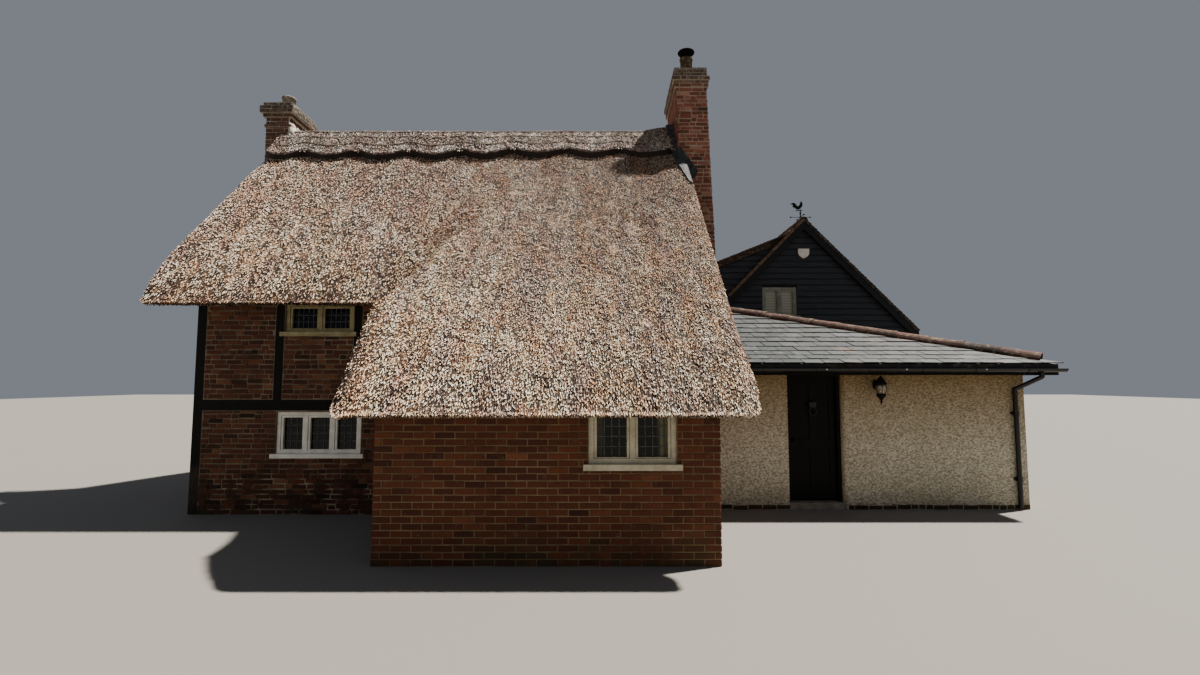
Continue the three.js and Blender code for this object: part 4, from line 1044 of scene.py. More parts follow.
def brick_stack(name, blocks, seed, finish, lean=0.0, upright_at=7.8):
    """Bricks round the shaft of a stack and each course of its head, leaning as the stack leans."""
    sides = [face for block in blocks for face in stack_sides(*block)]
    piece = brick_wall(name, sides, 0.225, 0.075, finish, "stack_brick", seed, bond="mixed",
                       shades=(0.55, 0.22), worn=0.002, joint=0.012)
    if lean:
        points = np.zeros(len(piece.data.vertices) * 3, np.float32)
        piece.data.vertices.foreach_get("co", points)
        points = points.reshape(-1, 3)
        points[:, 0] += lean * (upright_at - points[:, 2])
        piece.data.vertices.foreach_set("co", points.ravel())
        piece.data.update()


brick_stack("left_stack_bricks", [
    (-6.65, -6.10, 4.62, 5.37, 0.0, 4.95, ["right"]), (-6.65, -6.18, 4.62, 5.37, 4.95, 7.2),
    (-6.675, -6.155, 4.595, 5.395, 7.0, 7.06), (-6.695, -6.135, 4.575, 5.415, 7.2, 7.275),
    (-6.74, -6.09, 4.53, 5.46, 7.275, 7.42), (-6.695, -6.135, 4.575, 5.415, 7.42, 7.5),
], 300, old_stack_brick)
brick_stack("right_stack_bricks", [
    (1.44, 2.01, 4.08, 5.38, 4.0, 7.54), (1.41, 2.04, 4.05, 5.41, 7.53, 7.66),
    (1.38, 2.07, 4.02, 5.44, 7.66, 7.74), (1.422, 2.028, 4.062, 5.398, 7.74, 7.92),
], 320, stack_brick, lean=0.0384)
brick_stack("right_stack_foot_bricks", [(1.6, 2.2, 4.08, 5.38, 2.6, 4.0, ["left"])], 330, stack_brick)

# %% Stacks: a pale sheet of lead beside the left one
pale_lead = mortar_finish("pale_lead", "#cbc5bc", "#8f887d")
sheet_x, sheet_back, sheet_foot = -6.176, -6.20, 6.84
y, z = np.meshgrid(np.linspace(4.60, 5.39, 24), np.linspace(sheet_foot, 7.2, 12), indexing="ij")
x = sheet_x + 0.10 * (1 - ease((z - sheet_foot) / 0.3)) + 0.012 * lattice_noise(y, z, 0.07, 350)
ring = np.concatenate([np.stack([x, y, z], -1), np.stack([0 * x + sheet_back, y, z], -1)[:, ::-1]], 1)
new_piece("left_stack_fillet", ring.reshape(-1, 3) + site, ring_faces(*ring.shape[:2]), pale_lead, "lead",
          smooth=True)


# %% [markdown]
# ## Slates and clay tiles
# The wing is covered with large grey slates, the rear range with small clay plain tiles. Both lie the
# same way: each course overlaps the one below, its joints staggered by half a width, and its lower edge
# lifted by the thickness beneath it. One function lays them on any slope, and cuts them at hip and edge.

# %% Roof: laying a covering on a slope
def lay_covering(start, across, up, wide, far, size, gauge, thick, seed, trim=None, lift=0.0, wild=0.002,
                 joint=0.005, grow=0.0):
    """Thin blocks in courses over a slope that starts at its lower left corner.

    Course n has its lower edge n gauges up the slope, and further where the courses grow. Every second
    course is shifted by half a width. A block is thickest where it shows: its lower edge stands on the
    course below. Trim may move points sideways, which cuts the blocks along a hip."""
    rng = np.random.default_rng(seed)
    width, length = size
    rows, columns = int(np.ceil(far / gauge)), int(np.ceil(wide / width)) + 1
    row, column = np.meshgrid(np.arange(rows), np.arange(columns), indexing="ij")
    row, column = row.ravel(), column.ravel()
    u0 = (column - 0.5 * (row % 2)) * width + rng.normal(0, wild, row.size)
    u1 = u0 + width - joint
    v0 = row * gauge * (1 + grow * row) + rng.normal(0, wild, row.size) - 0.02
    v1 = np.minimum(v0 + length, far + 0.02)
    u0, u1 = np.clip(u0, 0, wide), np.clip(u1, 0, wide)
    keep = (u1 - u0 > 0.02) & (v1 - v0 > 0.02)
    u0, u1, v0, v1 = (ends[keep] for ends in (u0, u1, v0, v1))
    raise_low = lift + 2.2 * thick + rng.normal(0, thick * 0.15, len(u0))
    raise_high = lift + 0.2 * thick + 0 * u0
    us = np.stack([u0, u1, u1, u0], 1)
    vs = np.stack([v0, v0, v1, v1], 1)
    heights = np.stack([raise_low, raise_low, raise_high, raise_high], 1)
    heights[:, :2] += rng.normal(0, wild * 0.8, (len(u0), 2))
    normal = np.cross(across, up)
    top = start + us[..., None] * across + vs[..., None] * up + heights[..., None] * normal
    points = np.concatenate([top, top - thick * normal], 1)
    if trim is not None:
        points = trim(points)
        low_edge, high_edge = points[:, 1] - points[:, 0], points[:, 2] - points[:, 3]
        spread = np.linalg.norm(low_edge, axis=-1) + np.linalg.norm(high_edge, axis=-1)
        points = points[spread > 0.03]
    tone = np.repeat(np.clip(rng.normal(0.5, 0.22, len(points)), 0, 1), 8)
    return points.reshape(-1, 3), block_faces(len(points)), tone


def toned_piece(name, laid, material, slot, **more):
    """One piece from several (points, faces, tone)."""
    points, faces = gather([part[:2] for part in laid])
    tone = np.concatenate([part[2] for part in laid])
    return new_piece(name, points, faces, material, slot, tone=tone, **more)


def slope_up(inwards, slope):
    """Unit vector up a slope that climbs as it goes inwards."""
    return (inwards + slope * UP) / math.hypot(1, slope)


# %% Roof: the wing's slates
slate_low, slate_high = corners("wing_roof")
rear_low, rear_high = corners("rear_gable_wall")
wing_slope = 0.3153
eave_height = 2.23
slate_foot = eave_height + 0.004
hip_line = slate_high[0] + slate_low[1]


def trim_front(points):
    """Front slope: nothing passes the hip, which runs at 45 degrees in plan."""
    points[..., 0] = np.minimum(points[..., 0], hip_line - points[..., 1])
    return points


def trim_end(points):
    """End slope: nothing passes the hip from the other side."""
    points[..., 1] = np.maximum(points[..., 1], hip_line - points[..., 0])
    return points


made = Finish("grey_slate", roughness=0.6, specular=0.35)
color = made.shades(made.tone(), ["#171b1d", "#252a2b", "#3d4142"])
color = made.stain(color, "#6f6e66", [(0.55, 0.0), (0.68, 0.5)], 6, 5, 0.7)
color = made.stain(color, "#6b5444", [(0.57, 0.0), (0.7, 0.45)], 2.1, 4, 0.6)
slate_finish = made.done(color, made.noise(35, 5, 0.65, (0.4, 1.6, 1)), 0.35, 0.004)
set_finish(["wing_roof"], slate_finish)

slate = dict(size=(0.30, 0.54), gauge=0.20, thick=0.012, joint=0.012, grow=0.07)
front_slates = lay_covering(
    start=np.array([slate_low[0], slate_low[1] - 0.035, slate_foot]), across=X, up=slope_up(Y, wing_slope),
    wide=slate_high[0] - slate_low[0] + 0.03, far=(rear_low[1] - slate_low[1]) * math.hypot(1, wing_slope),
    seed=401, trim=trim_front, **slate)
end_slates = lay_covering(
    start=np.array([slate_high[0] + 0.035, slate_low[1] - 0.03, slate_foot]), across=Y,
    up=slope_up(-X, wing_slope), wide=rear_low[1] - slate_low[1] + 0.03,
    far=(slate_high[0] - site[0] - 1.3) * math.hypot(1, wing_slope), seed=402, trim=trim_end, **slate)
toned_piece("wing_slates", [front_slates, end_slates], slate_finish, "slate")


# %% Finish: fired clay tiles, mossy in the shade
def clay_finish(name, shades, moss=0.7, lichen="#8b7a5c"):
    """Plain tile clay: each tile's tone picks its shade, and soot and lichen sit in patches."""
    made = Finish(name, roughness=0.85, specular=0.3)
    color = made.shades(made.tone(), shades)
    color = made.stain(color, "#38291f", [(0.42, 0.0), (0.66, 0.7)], 5, 5, 0.7)
    color = made.stain(color, lichen, [(0.52, 0.0), (0.64, moss)], 11, 5, 0.7)
    return made.done(color, made.noise(60, 5, 0.75), 0.8, 0.012)


clay = clay_finish("clay_tiles", ["#33271f", "#4c382c", "#5e4434", "#735541"], lichen="#6a614c")
hip_clay = clay_finish("hip_clay", ["#2c1e18", "#462c21", "#5e3c2e", "#74503d"], moss=0.8, lichen="#85755d")
verge_clay = clay_finish("verge_clay", ["#25221e", "#3c342e", "#5f493d", "#7c6453"], lichen="#6f6755")


# %% Roof: half-round tiles along the hip
def barrel_tiles(start, end, radius, count, seed, grow):
    """Half-round tiles in a line, each a tapered arch whose wide end laps over the one before it."""
    rng = np.random.default_rng(seed)
    thick, lap = 0.016, 0.02
    ahead = unit(end - start)
    side = unit(np.cross(ahead, UP))
    crown = np.cross(side, ahead)
    angle = np.linspace(-0.08 * np.pi, 1.08 * np.pi, 13)[:, None]
    arch = np.cos(angle) * side + np.sin(angle) * crown
    step = np.linalg.norm(end - start) / count
    parts = []
    for number in range(count):
        rings = []
        for reach, outer in ((-lap, radius + grow), (0.3 * step, radius + grow * 0.6), (step + lap, radius)):
            rise = rng.normal(0, 0.004)
            full = np.concatenate([arch * outer, (arch * (outer - thick))[::-1]])
            rings.append(start + ahead * step * number + ahead * reach + full + crown * rise)
        points = np.concatenate(rings)
        tone = np.full(len(points), np.clip(rng.normal(0.5, 0.25), 0, 1))
        parts.append((points, ring_faces(len(rings), len(full)), tone))
    return parts


def on_hip(run):
    """A point of the hip, at a run in from its corner both ways."""
    return np.array([slate_high[0] - run, slate_low[1] + run, eave_height + wing_slope * run])


hip_tiles = barrel_tiles(on_hip(0.16), on_hip(rear_low[1] - 0.04 - slate_low[1]), 0.125, 14, 411, 0.012)
toned_piece("hip_barrel_tiles", hip_tiles, hip_clay, "clay", replaces=["hip_tiles"])

# %% Roof: the rear range's plain tiles
roof_low, roof_high = corners("rear_roof_right")
link_low, link_high = corners("link_roof")
rear_slope = 1.018
link_slope = 0.404
steep = math.hypot(1, rear_slope)
rear_half, rear_length, _ = roof_high - roof_low
crest = np.array([roof_low[0], roof_low[1], roof_high[2]])
far_crest = crest + rear_length * Y
strip_run = 1.9
strip_wide = 0.1


def plain_tiles(top, out, slope, run, wide, seed):
    """Tiles on a slope that falls outwards from a level line, whose left end, seen from there, is top."""
    return lay_covering(
        start=top + run * (out - slope * UP), across=np.cross(UP, out), up=slope_up(-out, slope), wide=wide,
        far=run * math.hypot(1, slope), size=(0.165, 0.26), gauge=0.10, thick=0.012, seed=seed, wild=0.0025,
        lift=0.004)


toned_piece("rear_plain_tiles", [
    plain_tiles(crest, X, rear_slope, rear_half, rear_length, 421),
    plain_tiles(far_crest, -X, rear_slope, crest[0] - link_high[0], rear_length - strip_wide, 422),
    plain_tiles(crest + strip_wide * Y, -X, rear_slope, strip_run, strip_wide, 423),
    plain_tiles(link_high, -X, link_slope, link_high[0] - link_low[0], link_high[1] - link_low[1], 424),
], clay, "clay")
set_finish(["rear_roof_right", "rear_roof_left", "link_roof"], clay)


# %% Roof: tiles along the rakes and the crest of the rear range
def verge_tiles(run, sign, seed):
    """Ends of the tiles along a rake: slabs up the slope, each leaning a little on the one below it."""
    rng = np.random.default_rng(seed)
    along = slope_up(-sign * X, rear_slope)
    outward = np.array([sign * rear_slope, 0, 1]) / steep
    start = crest + run * (sign * X - rear_slope * UP)
    v0 = np.arange(0, run * steep - 0.04, 0.10)
    n = len(v0)
    v = np.stack([v0, v0 + 0.13, v0 + 0.13, v0] * 2, 1)
    top_low, top_high, bottom = 0.040 + rng.normal(0, 0.003, n), 0.022 + 0 * v0, -0.035 + 0 * v0
    h = np.stack([bottom, bottom, top_high, top_low] * 2, 1)
    near = corners("rear_bargeboards")[0][1] - 0.014 + rng.normal(0, 0.004, n)
    points = start + v[..., None] * along + h[..., None] * outward
    points[:, :4, 1] = near[:, None]
    points[:, 4:, 1] = crest[1] + 0.05
    tone = np.clip(rng.normal(0.75 if sign < 0 else 0.15, 0.12, n), 0, 1)
    return points.reshape(-1, 3), block_faces(n, sign > 0), np.repeat(tone, 8)


verges = [verge_tiles(rear_half, 1, 441), verge_tiles(strip_run, -1, 442)]
toned_piece("rear_verge_tiles", verges, verge_clay, "clay")
sunk = 0.045 * UP
crest_tiles = barrel_tiles(crest - 0.01 * Y - sunk, far_crest + 0.01 * Y - sunk, 0.095, 10, 431, 0.008)
toned_piece("rear_crest_tiles", crest_tiles, clay, "clay")


# %% [markdown]
# ## Tarred boards and timbers
# The rear range is clad in wide feather-edged boards: each is thin at the top and thick at the bottom,
# and hangs over the one below, which draws the dark lines of shadow that the photograph shows. The old
# block's posts and rail are adzed oak, tarred black.
# On the boards, the top of each, just under the next, is also painted near black as the shadow of the board
# above.

# %% Finish: tarred wood
def tarred_finish(name, base, worn, stretch, gloss, bare=None, lap_shadow=False):
    """Black-stained wood: long grain along one axis, faded on the high spots.

    It is bare low down on a post, and on boards that overlap, the top of each, just under the next, is
    painted near black as the shadow of the board above."""
    made = Finish(name, roughness=gloss, specular=0.25)
    grain = made.noise(6, 6, 0.65, stretch)
    color = made.ramp(grain, (0.35, base), (0.75, worn))
    if bare:
        wood = made.ramp(grain, (0.35, "#241c15"), (0.7, "#4b3f33"))
        color = made.blend(made.along("Z", bare, bare - 0.15, 0.0, 0.8), color, wood)
    # Painted shadow: where the tone is low, at the top of each board, the colour goes near black as the shade
    # under the board above.
    if lap_shadow:
        color = made.blend(made.ramp(made.tone(), (0.14, 1.0), (0.3, 0.0)), color, "#020202")
    return made.done(color, grain, 0.6, 0.006)


boards_finish = tarred_finish("tarred_boards", "#1d2025", "#393d44", (0.5, 0.5, 14), 0.55, lap_shadow=True)
set_finish(["rear_gable_wall", "link_front_wall", "rear_back_wall", "link_left_wall", "rear_right_wall"],
           boards_finish)
set_finish(["timber_frame"], tarred_finish("tarred_oak", "#040303", "#100e0c", (5, 5, 1.2), 0.8, bare=0.75))


# %% Boards: feather-edged cladding
def clad(origin, along, out, height, left_end, right_end, seed, holes=()):
    """Boards from the ground up: left_end and right_end give the wall's ends at each height."""
    rng = np.random.default_rng(seed)
    exposure, lap = 0.15, 0.03
    low = np.arange(0, height, exposure)
    high = np.minimum(low + exposure + lap, height)
    rows = np.stack([left_end(low), right_end(low), left_end(high), right_end(high), low, high], -1)
    for h0, h1, b0, b1 in holes:
        beside = (rows[:, 4] < b1 - 0.02) & (rows[:, 5] - lap > b0 + 0.02)
        hit = beside & (rows[:, 0] < h1) & (rows[:, 1] > h0)
        rest, cut = rows[~hit], rows[hit]
        left, right = cut.copy(), cut.copy()
        left[:, [1, 3]] = np.minimum(left[:, [1, 3]], h0)
        right[:, [0, 2]] = np.maximum(right[:, [0, 2]], h1)
        rows = np.concatenate([rest, left, right])
    rows = rows[(rows[:, 1] - rows[:, 0] > 0.02)]
    rows[:, 3] = np.maximum(rows[:, 3], rows[:, 2] + 0.001)
    a0, a1, c0, c1, z0, z1 = rows.T
    thick = 0.024 + rng.normal(0, 0.0015, len(rows))
    thin, sunk = 0.007 + 0 * thick, -0.003 + 0 * thick
    z = np.stack([z0, z0, z1, z1] * 2, 1) + rng.normal(0, 0.002, len(rows))[:, None]
    d = np.stack([thick, thick, thin, thin] + [sunk] * 4, 1)
    return wall_blocks(origin, along, out, np.stack([a0, a1, c1, c0] * 2, 1), d, z)


under_roof = 0.16
wall_low, wall_high = corners("link_front_wall")
back_wall_low, back_wall_high = corners("rear_back_wall")
far_side = back_wall_high[0]


def rake(start, sign):
    """Ends of a gable wall's boards under the rear roof, as functions of height."""
    reach = lambda z: (crest[2] - under_roof - z) / rear_slope
    near = lambda z: np.maximum(sign * (crest[0] - start) - reach(z), 0)
    far = lambda z: np.maximum(sign * (crest[0] - start) + reach(z), 0)
    return near, far


def link_roof_x(z):
    """Where the boards meet the link's roof at a height."""
    return (z + under_roof - link_high[2]) / link_slope + link_high[0]


def link_end(z):
    """Right end of the link's boards: the gable wall, and the rear roof above it."""
    under_rear = crest[0] - (crest[2] - under_roof - z) / rear_slope
    return np.maximum(np.where(z < rear_high[2] - 3, rear_low[0], under_rear) - wall_low[0], 0)


def back_end(z):
    """Far end of the back wall's boards: under the link's roof, and under the rear one where it is higher."""
    under_link = far_side - np.maximum(link_roof_x(z), back_wall_low[0])
    return np.minimum(under_link, np.maximum(back_far(z), far_side - link_high[0]))


def side_boards(node_name, out, along, fall, seed):
    """Boards on a side wall, up to the roof that falls to it, which passes both its ends."""
    low, high = corners(node_name)
    past = 0.2
    x, start = (high[0], low[1] - past) if out[0] > 0 else (low[0], high[1] + past)
    length, height = high[1] - low[1] + 2 * past, fall(x)
    print(f"boards on {node_name} up to {height:.2f} m")
    return clad((x, start, 0), along, out, height, lambda z: 0 * z, lambda z: length + 0 * z, seed)


gable_near, gable_far = rake(rear_low[0], 1)
back_near, back_far = rake(far_side, -1)
gable_width = rear_high[0] - rear_low[0]
gable_top = crest[2] - 0.2
link_top = 5.4
eaves_gap = 0.18
board_out = 0.03
board_points, board_faces = gather([
    clad((rear_low[0], rear_low[1], 0), X, -Y, gable_top, gable_near,
         lambda z: np.minimum(gable_far(z), gable_width), 501, window_hole("range", rear_low[0], 1)),
    clad((wall_low[0], wall_low[1], 0), X, -Y, link_top,
         lambda z: np.maximum(link_roof_x(z) - wall_low[0], 0), link_end, 502),
    clad((far_side, back_wall_high[1], 0), -X, Y, gable_top, back_near, back_end, 503),
    side_boards("rear_right_wall", X, Y,
                lambda x: crest[2] - eaves_gap - rear_slope * (x + board_out - crest[0]), 504),
    side_boards("link_left_wall", -X, -Y,
                lambda x: link_high[2] - eaves_gap - link_slope * (link_high[0] - x + board_out), 505),
])
# Painted shadow: each board's tone is 0.75 at its lower corners and 0 at its upper ones, which paints its top
# near black.
lap_shadow_tone = np.tile([0.75, 0.75, 0, 0], len(board_points) // 4)
new_piece("feather_edge_boards", board_points, board_faces, boards_finish, "tarred_wood", tone=lap_shadow_tone)


# %% [markdown]
# ## Windows
# Each window has a painted frame, and inside every light a slimmer casement of its own, which gives the
# double line round the glass. All but the rear range's panes are held in lead: a grid of thin cames.

# %% Finishes: paint, lead, glass
def painted_finish(name, base, shadow, roughness, scale=7, strength=0.15, shine=0.4):
    """Brushed paint over wood or iron: slightly uneven in colour, with a fine relief."""
    return plain_finish(name, (scale, 5, 0.65), [(0.32, shadow), (0.6, base)],
                        (60, 3, 0.6, (1, 1, 0.3)), strength, 0.003, roughness=roughness, specular=shine)


cream = painted_finish("cream_paint", "#cdc5ab", "#aaa082", 0.5)
fresh_cream = painted_finish("fresh_cream_paint", "#f1eee3", "#d3d0c3", 0.5)
old_cream = painted_finish("old_cream_paint", "#a0946a", "#7a6f4d", 0.6)
grey_green = painted_finish("grey_green_paint", "#868a7c", "#676b5f", 0.6)
came = plain_finish("window_lead", (30,), [(0.4, "#383d40"), (0.7, "#62696d")], roughness=0.6, metallic=0.2)
# Painted shade: the glass is opaque and near black, standing for the unlit rooms behind it.
glass = plain_finish("leaded_glass", (3, 3, 0.6), [(0.4, "#040506"), (0.7, "#0b0e0f")], (9, 2), 0.12, 0.01,
                     roughness=0.08, specular=0.2)

made = Finish("sheet_lead", roughness=0.7, metallic=0.1)
creases = made.noise(7, 5, 0.7, (1.6, 1.6, 0.6))
color = made.ramp(creases, (0.38, "#1b1f21"), (0.5, "#282d2f"), (0.62, "#3e4345"))
lead = made.done(color, creases, 1.0, 0.07)

made = Finish("curtained_glass", roughness=0.08, specular=0.2)
pane_low, pane_high = corners("outshot_window_glass")
across_pane = made.along("X", pane_low[0], pane_high[0])
hung = made.ramp(across_pane, (0.15, 0.35), (0.18, 0.0), (0.79, 0.0), (0.82, 1.0))
cloth = made.ramp(made.noise(28, 2, 0.5, (1, 1, 0.05)), (0.35, "#2c2a1d"), (0.65, "#6d694c"))
# Painted shade: between the curtains the glass is near black, standing for the unlit room behind it.
curtained = made.done(made.blend(hung, "#060707", cloth))

made = Finish("pale_blind", roughness=0.7)
slats = made.node("TexWave", {"wave_type": "BANDS", "bands_direction": "Z"}, Vector=made.place, Scale=8.0,
                  Distortion=0.2)
blind = made.done(made.ramp(slats.outputs["Fac"], (0.0, "#5e625a"), (0.25, "#9a9c8e"), (1.0, "#a9ab9c")))

for frame_finish, glass_finish, windows in (
        (fresh_cream, glass, ["lower"]), (old_cream, glass, ["upper"]), (cream, curtained, ["outshot"]),
        (cream, glass, ["back_lower", "back_upper"]), (grey_green, blind, ["range"])):
    set_finish([f"{window}_window_frame" for window in windows], frame_finish)
    set_finish([f"{window}_window_glass" for window in windows], glass_finish)
set_finish(["right_chimney_flashing", "left_chimney_flashing"], lead)


# %% Windows: casements and leading, light by light
def dress_window(window, lights, member, columns=3, rows=4, finish=cream):
    """Casement frames in every light of one window, and lead grids where it has columns."""
    sash, foot, gap, lap, half, rebate = 0.034, 0.014, 0.003, 0.002, 0.004, 0.015
    low, high = corners(f"{window}_window_glass")
    frame_low, frame_high = corners(f"{window}_window_frame")
    behind = low[1] > (frame_low[1] + frame_high[1]) / 2
    glass_face, way = (low[1], -1) if behind else (high[1], 1)
    edge, z0, z1 = low[0] - rebate, low[2] - rebate + member, high[2] + rebate - member
    pitch = (high[0] + rebate - edge - member) / lights
    rails, cames = [], []
    for number in range(lights):
        x0, x1 = edge + member + number * pitch, edge + (number + 1) * pitch
        left, right, bottom, top = x0 + sash, x1 - sash, z0 + foot, z1 - sash
        rails += [(x0 + gap, left, z0 + gap, z1 - gap), (right, x1 - gap, z0 + gap, z1 - gap),
                  (left - lap, right + lap, z0 + gap, bottom), (left - lap, right + lap, top, z1 - gap)]
        for x in mix(left, right, np.arange(1, columns) / max(columns, 1)):
            cames.append((x - half, x + half, bottom, top))
        for z in mix(bottom, top, np.arange(1, rows) / max(rows, 1)):
            cames.append((left, right, z - half, z + half))
    depths = sorted([glass_face + way * 0.002, glass_face + way * 0.048])
    eased_edges(new_piece(f"{window}_casements", *plates(rails, depths), finish, "cream_paint"), 0.004)
    if cames:
        depths = sorted([glass_face + way * 0.001, glass_face + way * 0.009])
        new_piece(f"{window}_cames", *plates(cames, depths), came, "lead")


dress_window("lower", 3, 0.05, finish=fresh_cream)
dress_window("upper", 2, 0.05, columns=5, rows=3, finish=old_cream)
dress_window("outshot", 2, 0.055, columns=4, rows=4)
dress_window("back_lower", 3, 0.05)
dress_window("back_upper", 2, 0.05, columns=5, rows=3)
dress_window("range", 2, 0.055, columns=0, rows=0, finish=grey_green)

# %% [markdown]
# ## The entrance wing
# Its walls are roughcast: pebbles thrown into wet render and painted cream, over a course of dark brick
# that keeps it off the ground. The pebbles are a relief from noise, wider than it is high. Everything
# that is painted black, from the door to the gutter, has a little dust in its gloss.

# %% Finishes of the wing
made = Finish("painted_roughcast", roughness=0.85, specular=0.3)
# The pebbles' colour comes from the same noise that raises them: partly their own varied colour, and partly
# painted shade in the hollows and painted highlight on the tops.
pebbles = made.noise(30, 3, 0.5, (1, 1, 1.6))
color = made.ramp(pebbles, (0.36, "#a09479"), (0.5, "#cfc6ab"), (0.64, "#ece5d0"))
# Painted shade: from 0.9 m up to 2.15 m the render is multiplied towards golden brown, as the shade that the
# eave and gutter cast down the wall.
color = made.blend(made.along("Z", 0.9, 2.15), color, "#a88a5c", "MULTIPLY")
color = made.stain(color, "#a69670", [(0.4, 0.0), (0.75, 0.35)], 1.3, 5, 0.65)
splash = made.math("MULTIPLY", made.along("Z", 0.35, 0.0, 0.0, 0.6), made.noise(9, 4, 0.7))
roughcast = made.done(made.blend(splash, color, "#6d6149"), pebbles, 1.0, 0.042)
set_finish(["wing_front_wall_left", "wing_front_wall_over_door", "wing_front_wall_right", "wing_right_wall",
            "wing_back_corner_wall"], roughcast)

black_gloss = painted_finish("black_gloss", "#030303", "#090908", 0.45, 5, 0.2, shine=0.12)
gutter_black = painted_finish("gutter_black", "#0a0a0b", "#161617", 0.28, 4, 0.05)
iron = painted_finish("wrought_iron", "#060606", "#121110", 0.7, 20, 0.5, shine=0.2)
worn_iron = painted_finish("worn_iron", "#201f1e", "#121110", 0.6, 40, 0.4)
sooty_iron = painted_finish("sooty_iron", "#060606", "#0f0e0d", 0.95, 20, 0.5, shine=0.05)
white_plastic = plain_finish("alarm_cover", (12, 3), [(0.3, "#cfcdc4"), (0.7, "#e6e4dc")], roughness=0.35)
set_finish(["front_door", "door_frame", "wing_fascia"], black_gloss)
set_finish(["rear_bargeboards"], painted_finish("bargeboard_tar", "#16181b", "#0d0e10", 0.6, shine=0.25))
set_finish(["wing_gutter", "wing_downpipe"], gutter_black)
set_finish(["wall_lantern", "vane_mast", "vane_cockerel", "chimney_cowl"], iron)
set_finish(["ground_floor", "wing_floor", "door_step", "rear_ground_floor"],
           painted_finish("worn_stone", "#8e877a", "#6a6459", 0.85, 9, 0.6))
set_finish(["upper_floor", "rear_upper_floor"],
           tarred_finish("floor_boards", "#4c3927", "#7a6146", (1, 8, 8), 0.7))
set_finish(["left_chimney_pot", "right_chimney_pot"],
           clay_finish("chimney_pot_clay", ["#5b4538", "#7c5a48", "#8e6a55"], moss=0.4))
set_finish(["alarm_box"], white_plastic)

# %% The door: a knocker of worn iron
knock_x, knock_y = 3.347 + site[0], corners("front_door")[0][1] - 0.001
turn = np.linspace(0, 2 * np.pi, 25)
bow = np.stack([knock_x + 0.056 * np.sin(turn), knock_y + 0 * turn, 1.492 + 0.066 * np.cos(turn)], -1)
plate = plates([(knock_x - 0.055, knock_x + 0.055, 1.562, 1.636)], (knock_y - 0.004, knock_y + 0.012))
eased_edges(new_piece("door_knocker", *gather([plate, rod(bow, 0.009, 8)]), worn_iron, "black_iron",
                      body="front_door"), 0.004)

# %% The vane: a cockerel of sheet iron on its short bar
vane_low, vane_high = corners("vane_cockerel")
pin = np.array([4.535, (vane_low[1] + vane_high[1]) / 2, 0])
bird_x, bird_z = np.array([
    (-0.042, 6.283), (0.040, 6.350), (0.065, 6.408), (0.054, 6.450), (0.042, 6.494), (0.019, 6.499),
    (-0.003, 6.450), (-0.020, 6.400), (-0.056, 6.374), (-0.086, 6.383), (-0.099, 6.416), (-0.130, 6.450),
    (-0.169, 6.466), (-0.221, 6.445), (-0.254, 6.404), (-0.213, 6.424), (-0.186, 6.414), (-0.192, 6.358),
    (-0.150, 6.333), (-0.092, 6.297),
]).T
outline = np.stack([bird_x, 0 * bird_x, bird_z], -1) + pin
sheet = (np.concatenate([outline + 0.005 * Y, outline - 0.005 * Y]), ring_faces(2, len(outline)))
short_bar = rod([pin + [-0.115, 0, 6.262], pin + [0.05, 0, 6.262]], 0.011, 8)
sleeve = rod([pin + [0, 0, 6.216], pin + [0, 0, 6.285]], 0.012, 10)
new_piece("vane_bird", *gather([sheet, short_bar, sleeve]), iron, "black_iron", body="weather_vane",
          replaces=["vane_cockerel"])

# %% The wing: a course of brick under the render
wall_low, wall_high = corners("wing_front_wall_right")
base = 0.09
plinth = [
    face_y(wall_low[1], wall_low[0] + 0.06, wall_high[0]),
    face_y(wing_low[1], wing_low[0], wing_high[0]),
    face_x(wall_high[0], wall_low[1], corners("wing_right_wall")[1][1], right=True),
]
brick_wall("wing_plinth_bricks", [side(face, base) for face in plinth], 0.225, 0.075, old_brick, "old_brick",
           600, bond="mixed", shades=(0.3, 0.15), proud=0.006)

# %% The wing: gutter brackets
gutter_low, gutter_high = corners("wing_gutter")
fascia_low, fascia_high = corners("wing_fascia")
rim = gutter_high[2] - 0.002


def bracket(place, out):
    """A gutter bracket: a half ring under the trough, and a strap down the board."""
    angle = np.linspace(np.pi, 2 * np.pi, 9)[:, None]
    path = place + out * 0.0555 + 0.0585 * (np.cos(angle) * out + np.sin(angle) * UP)
    head = place - out * 0.002
    return [rod(path, 0.005, 5), rod([head, head - 0.07 * UP], 0.006, 5)]


brackets = []
for x in np.arange(gutter_low[0] + 0.35, fascia_high[0] - 0.1, 0.8):
    brackets += bracket(np.array([x, fascia_low[1], rim]), -Y)
for y in np.arange(fascia_low[1] + 0.5, fascia_high[1] - 0.3, 0.8):
    brackets += bracket(np.array([fascia_high[0], y, rim]), X)
new_piece("gutter_brackets", *gather(brackets), gutter_black, "black_paint", smooth=True)

# %% The wing: unions on the gutter, as pale studs
studs = [(x - 0.012, x + 0.012, rim - 0.02, rim - 0.004)
         for x in np.arange(gutter_low[0] + 0.9, fascia_high[0], 1.2)]
stud_depths = (gutter_low[1] - 0.002, gutter_low[1] + 0.006)
eased_edges(new_piece("gutter_studs", *plates(studs, stud_depths), white_plastic, "white_plastic"), 0.003)

# %% [markdown]
# ## The lantern
# The lamp beside the door hangs from a curved arm: a domed cap, a glass that narrows downwards inside
# six thin bars, and a turned drop. The cap, the glass and the drop are profiles turned about one upright
# axis.

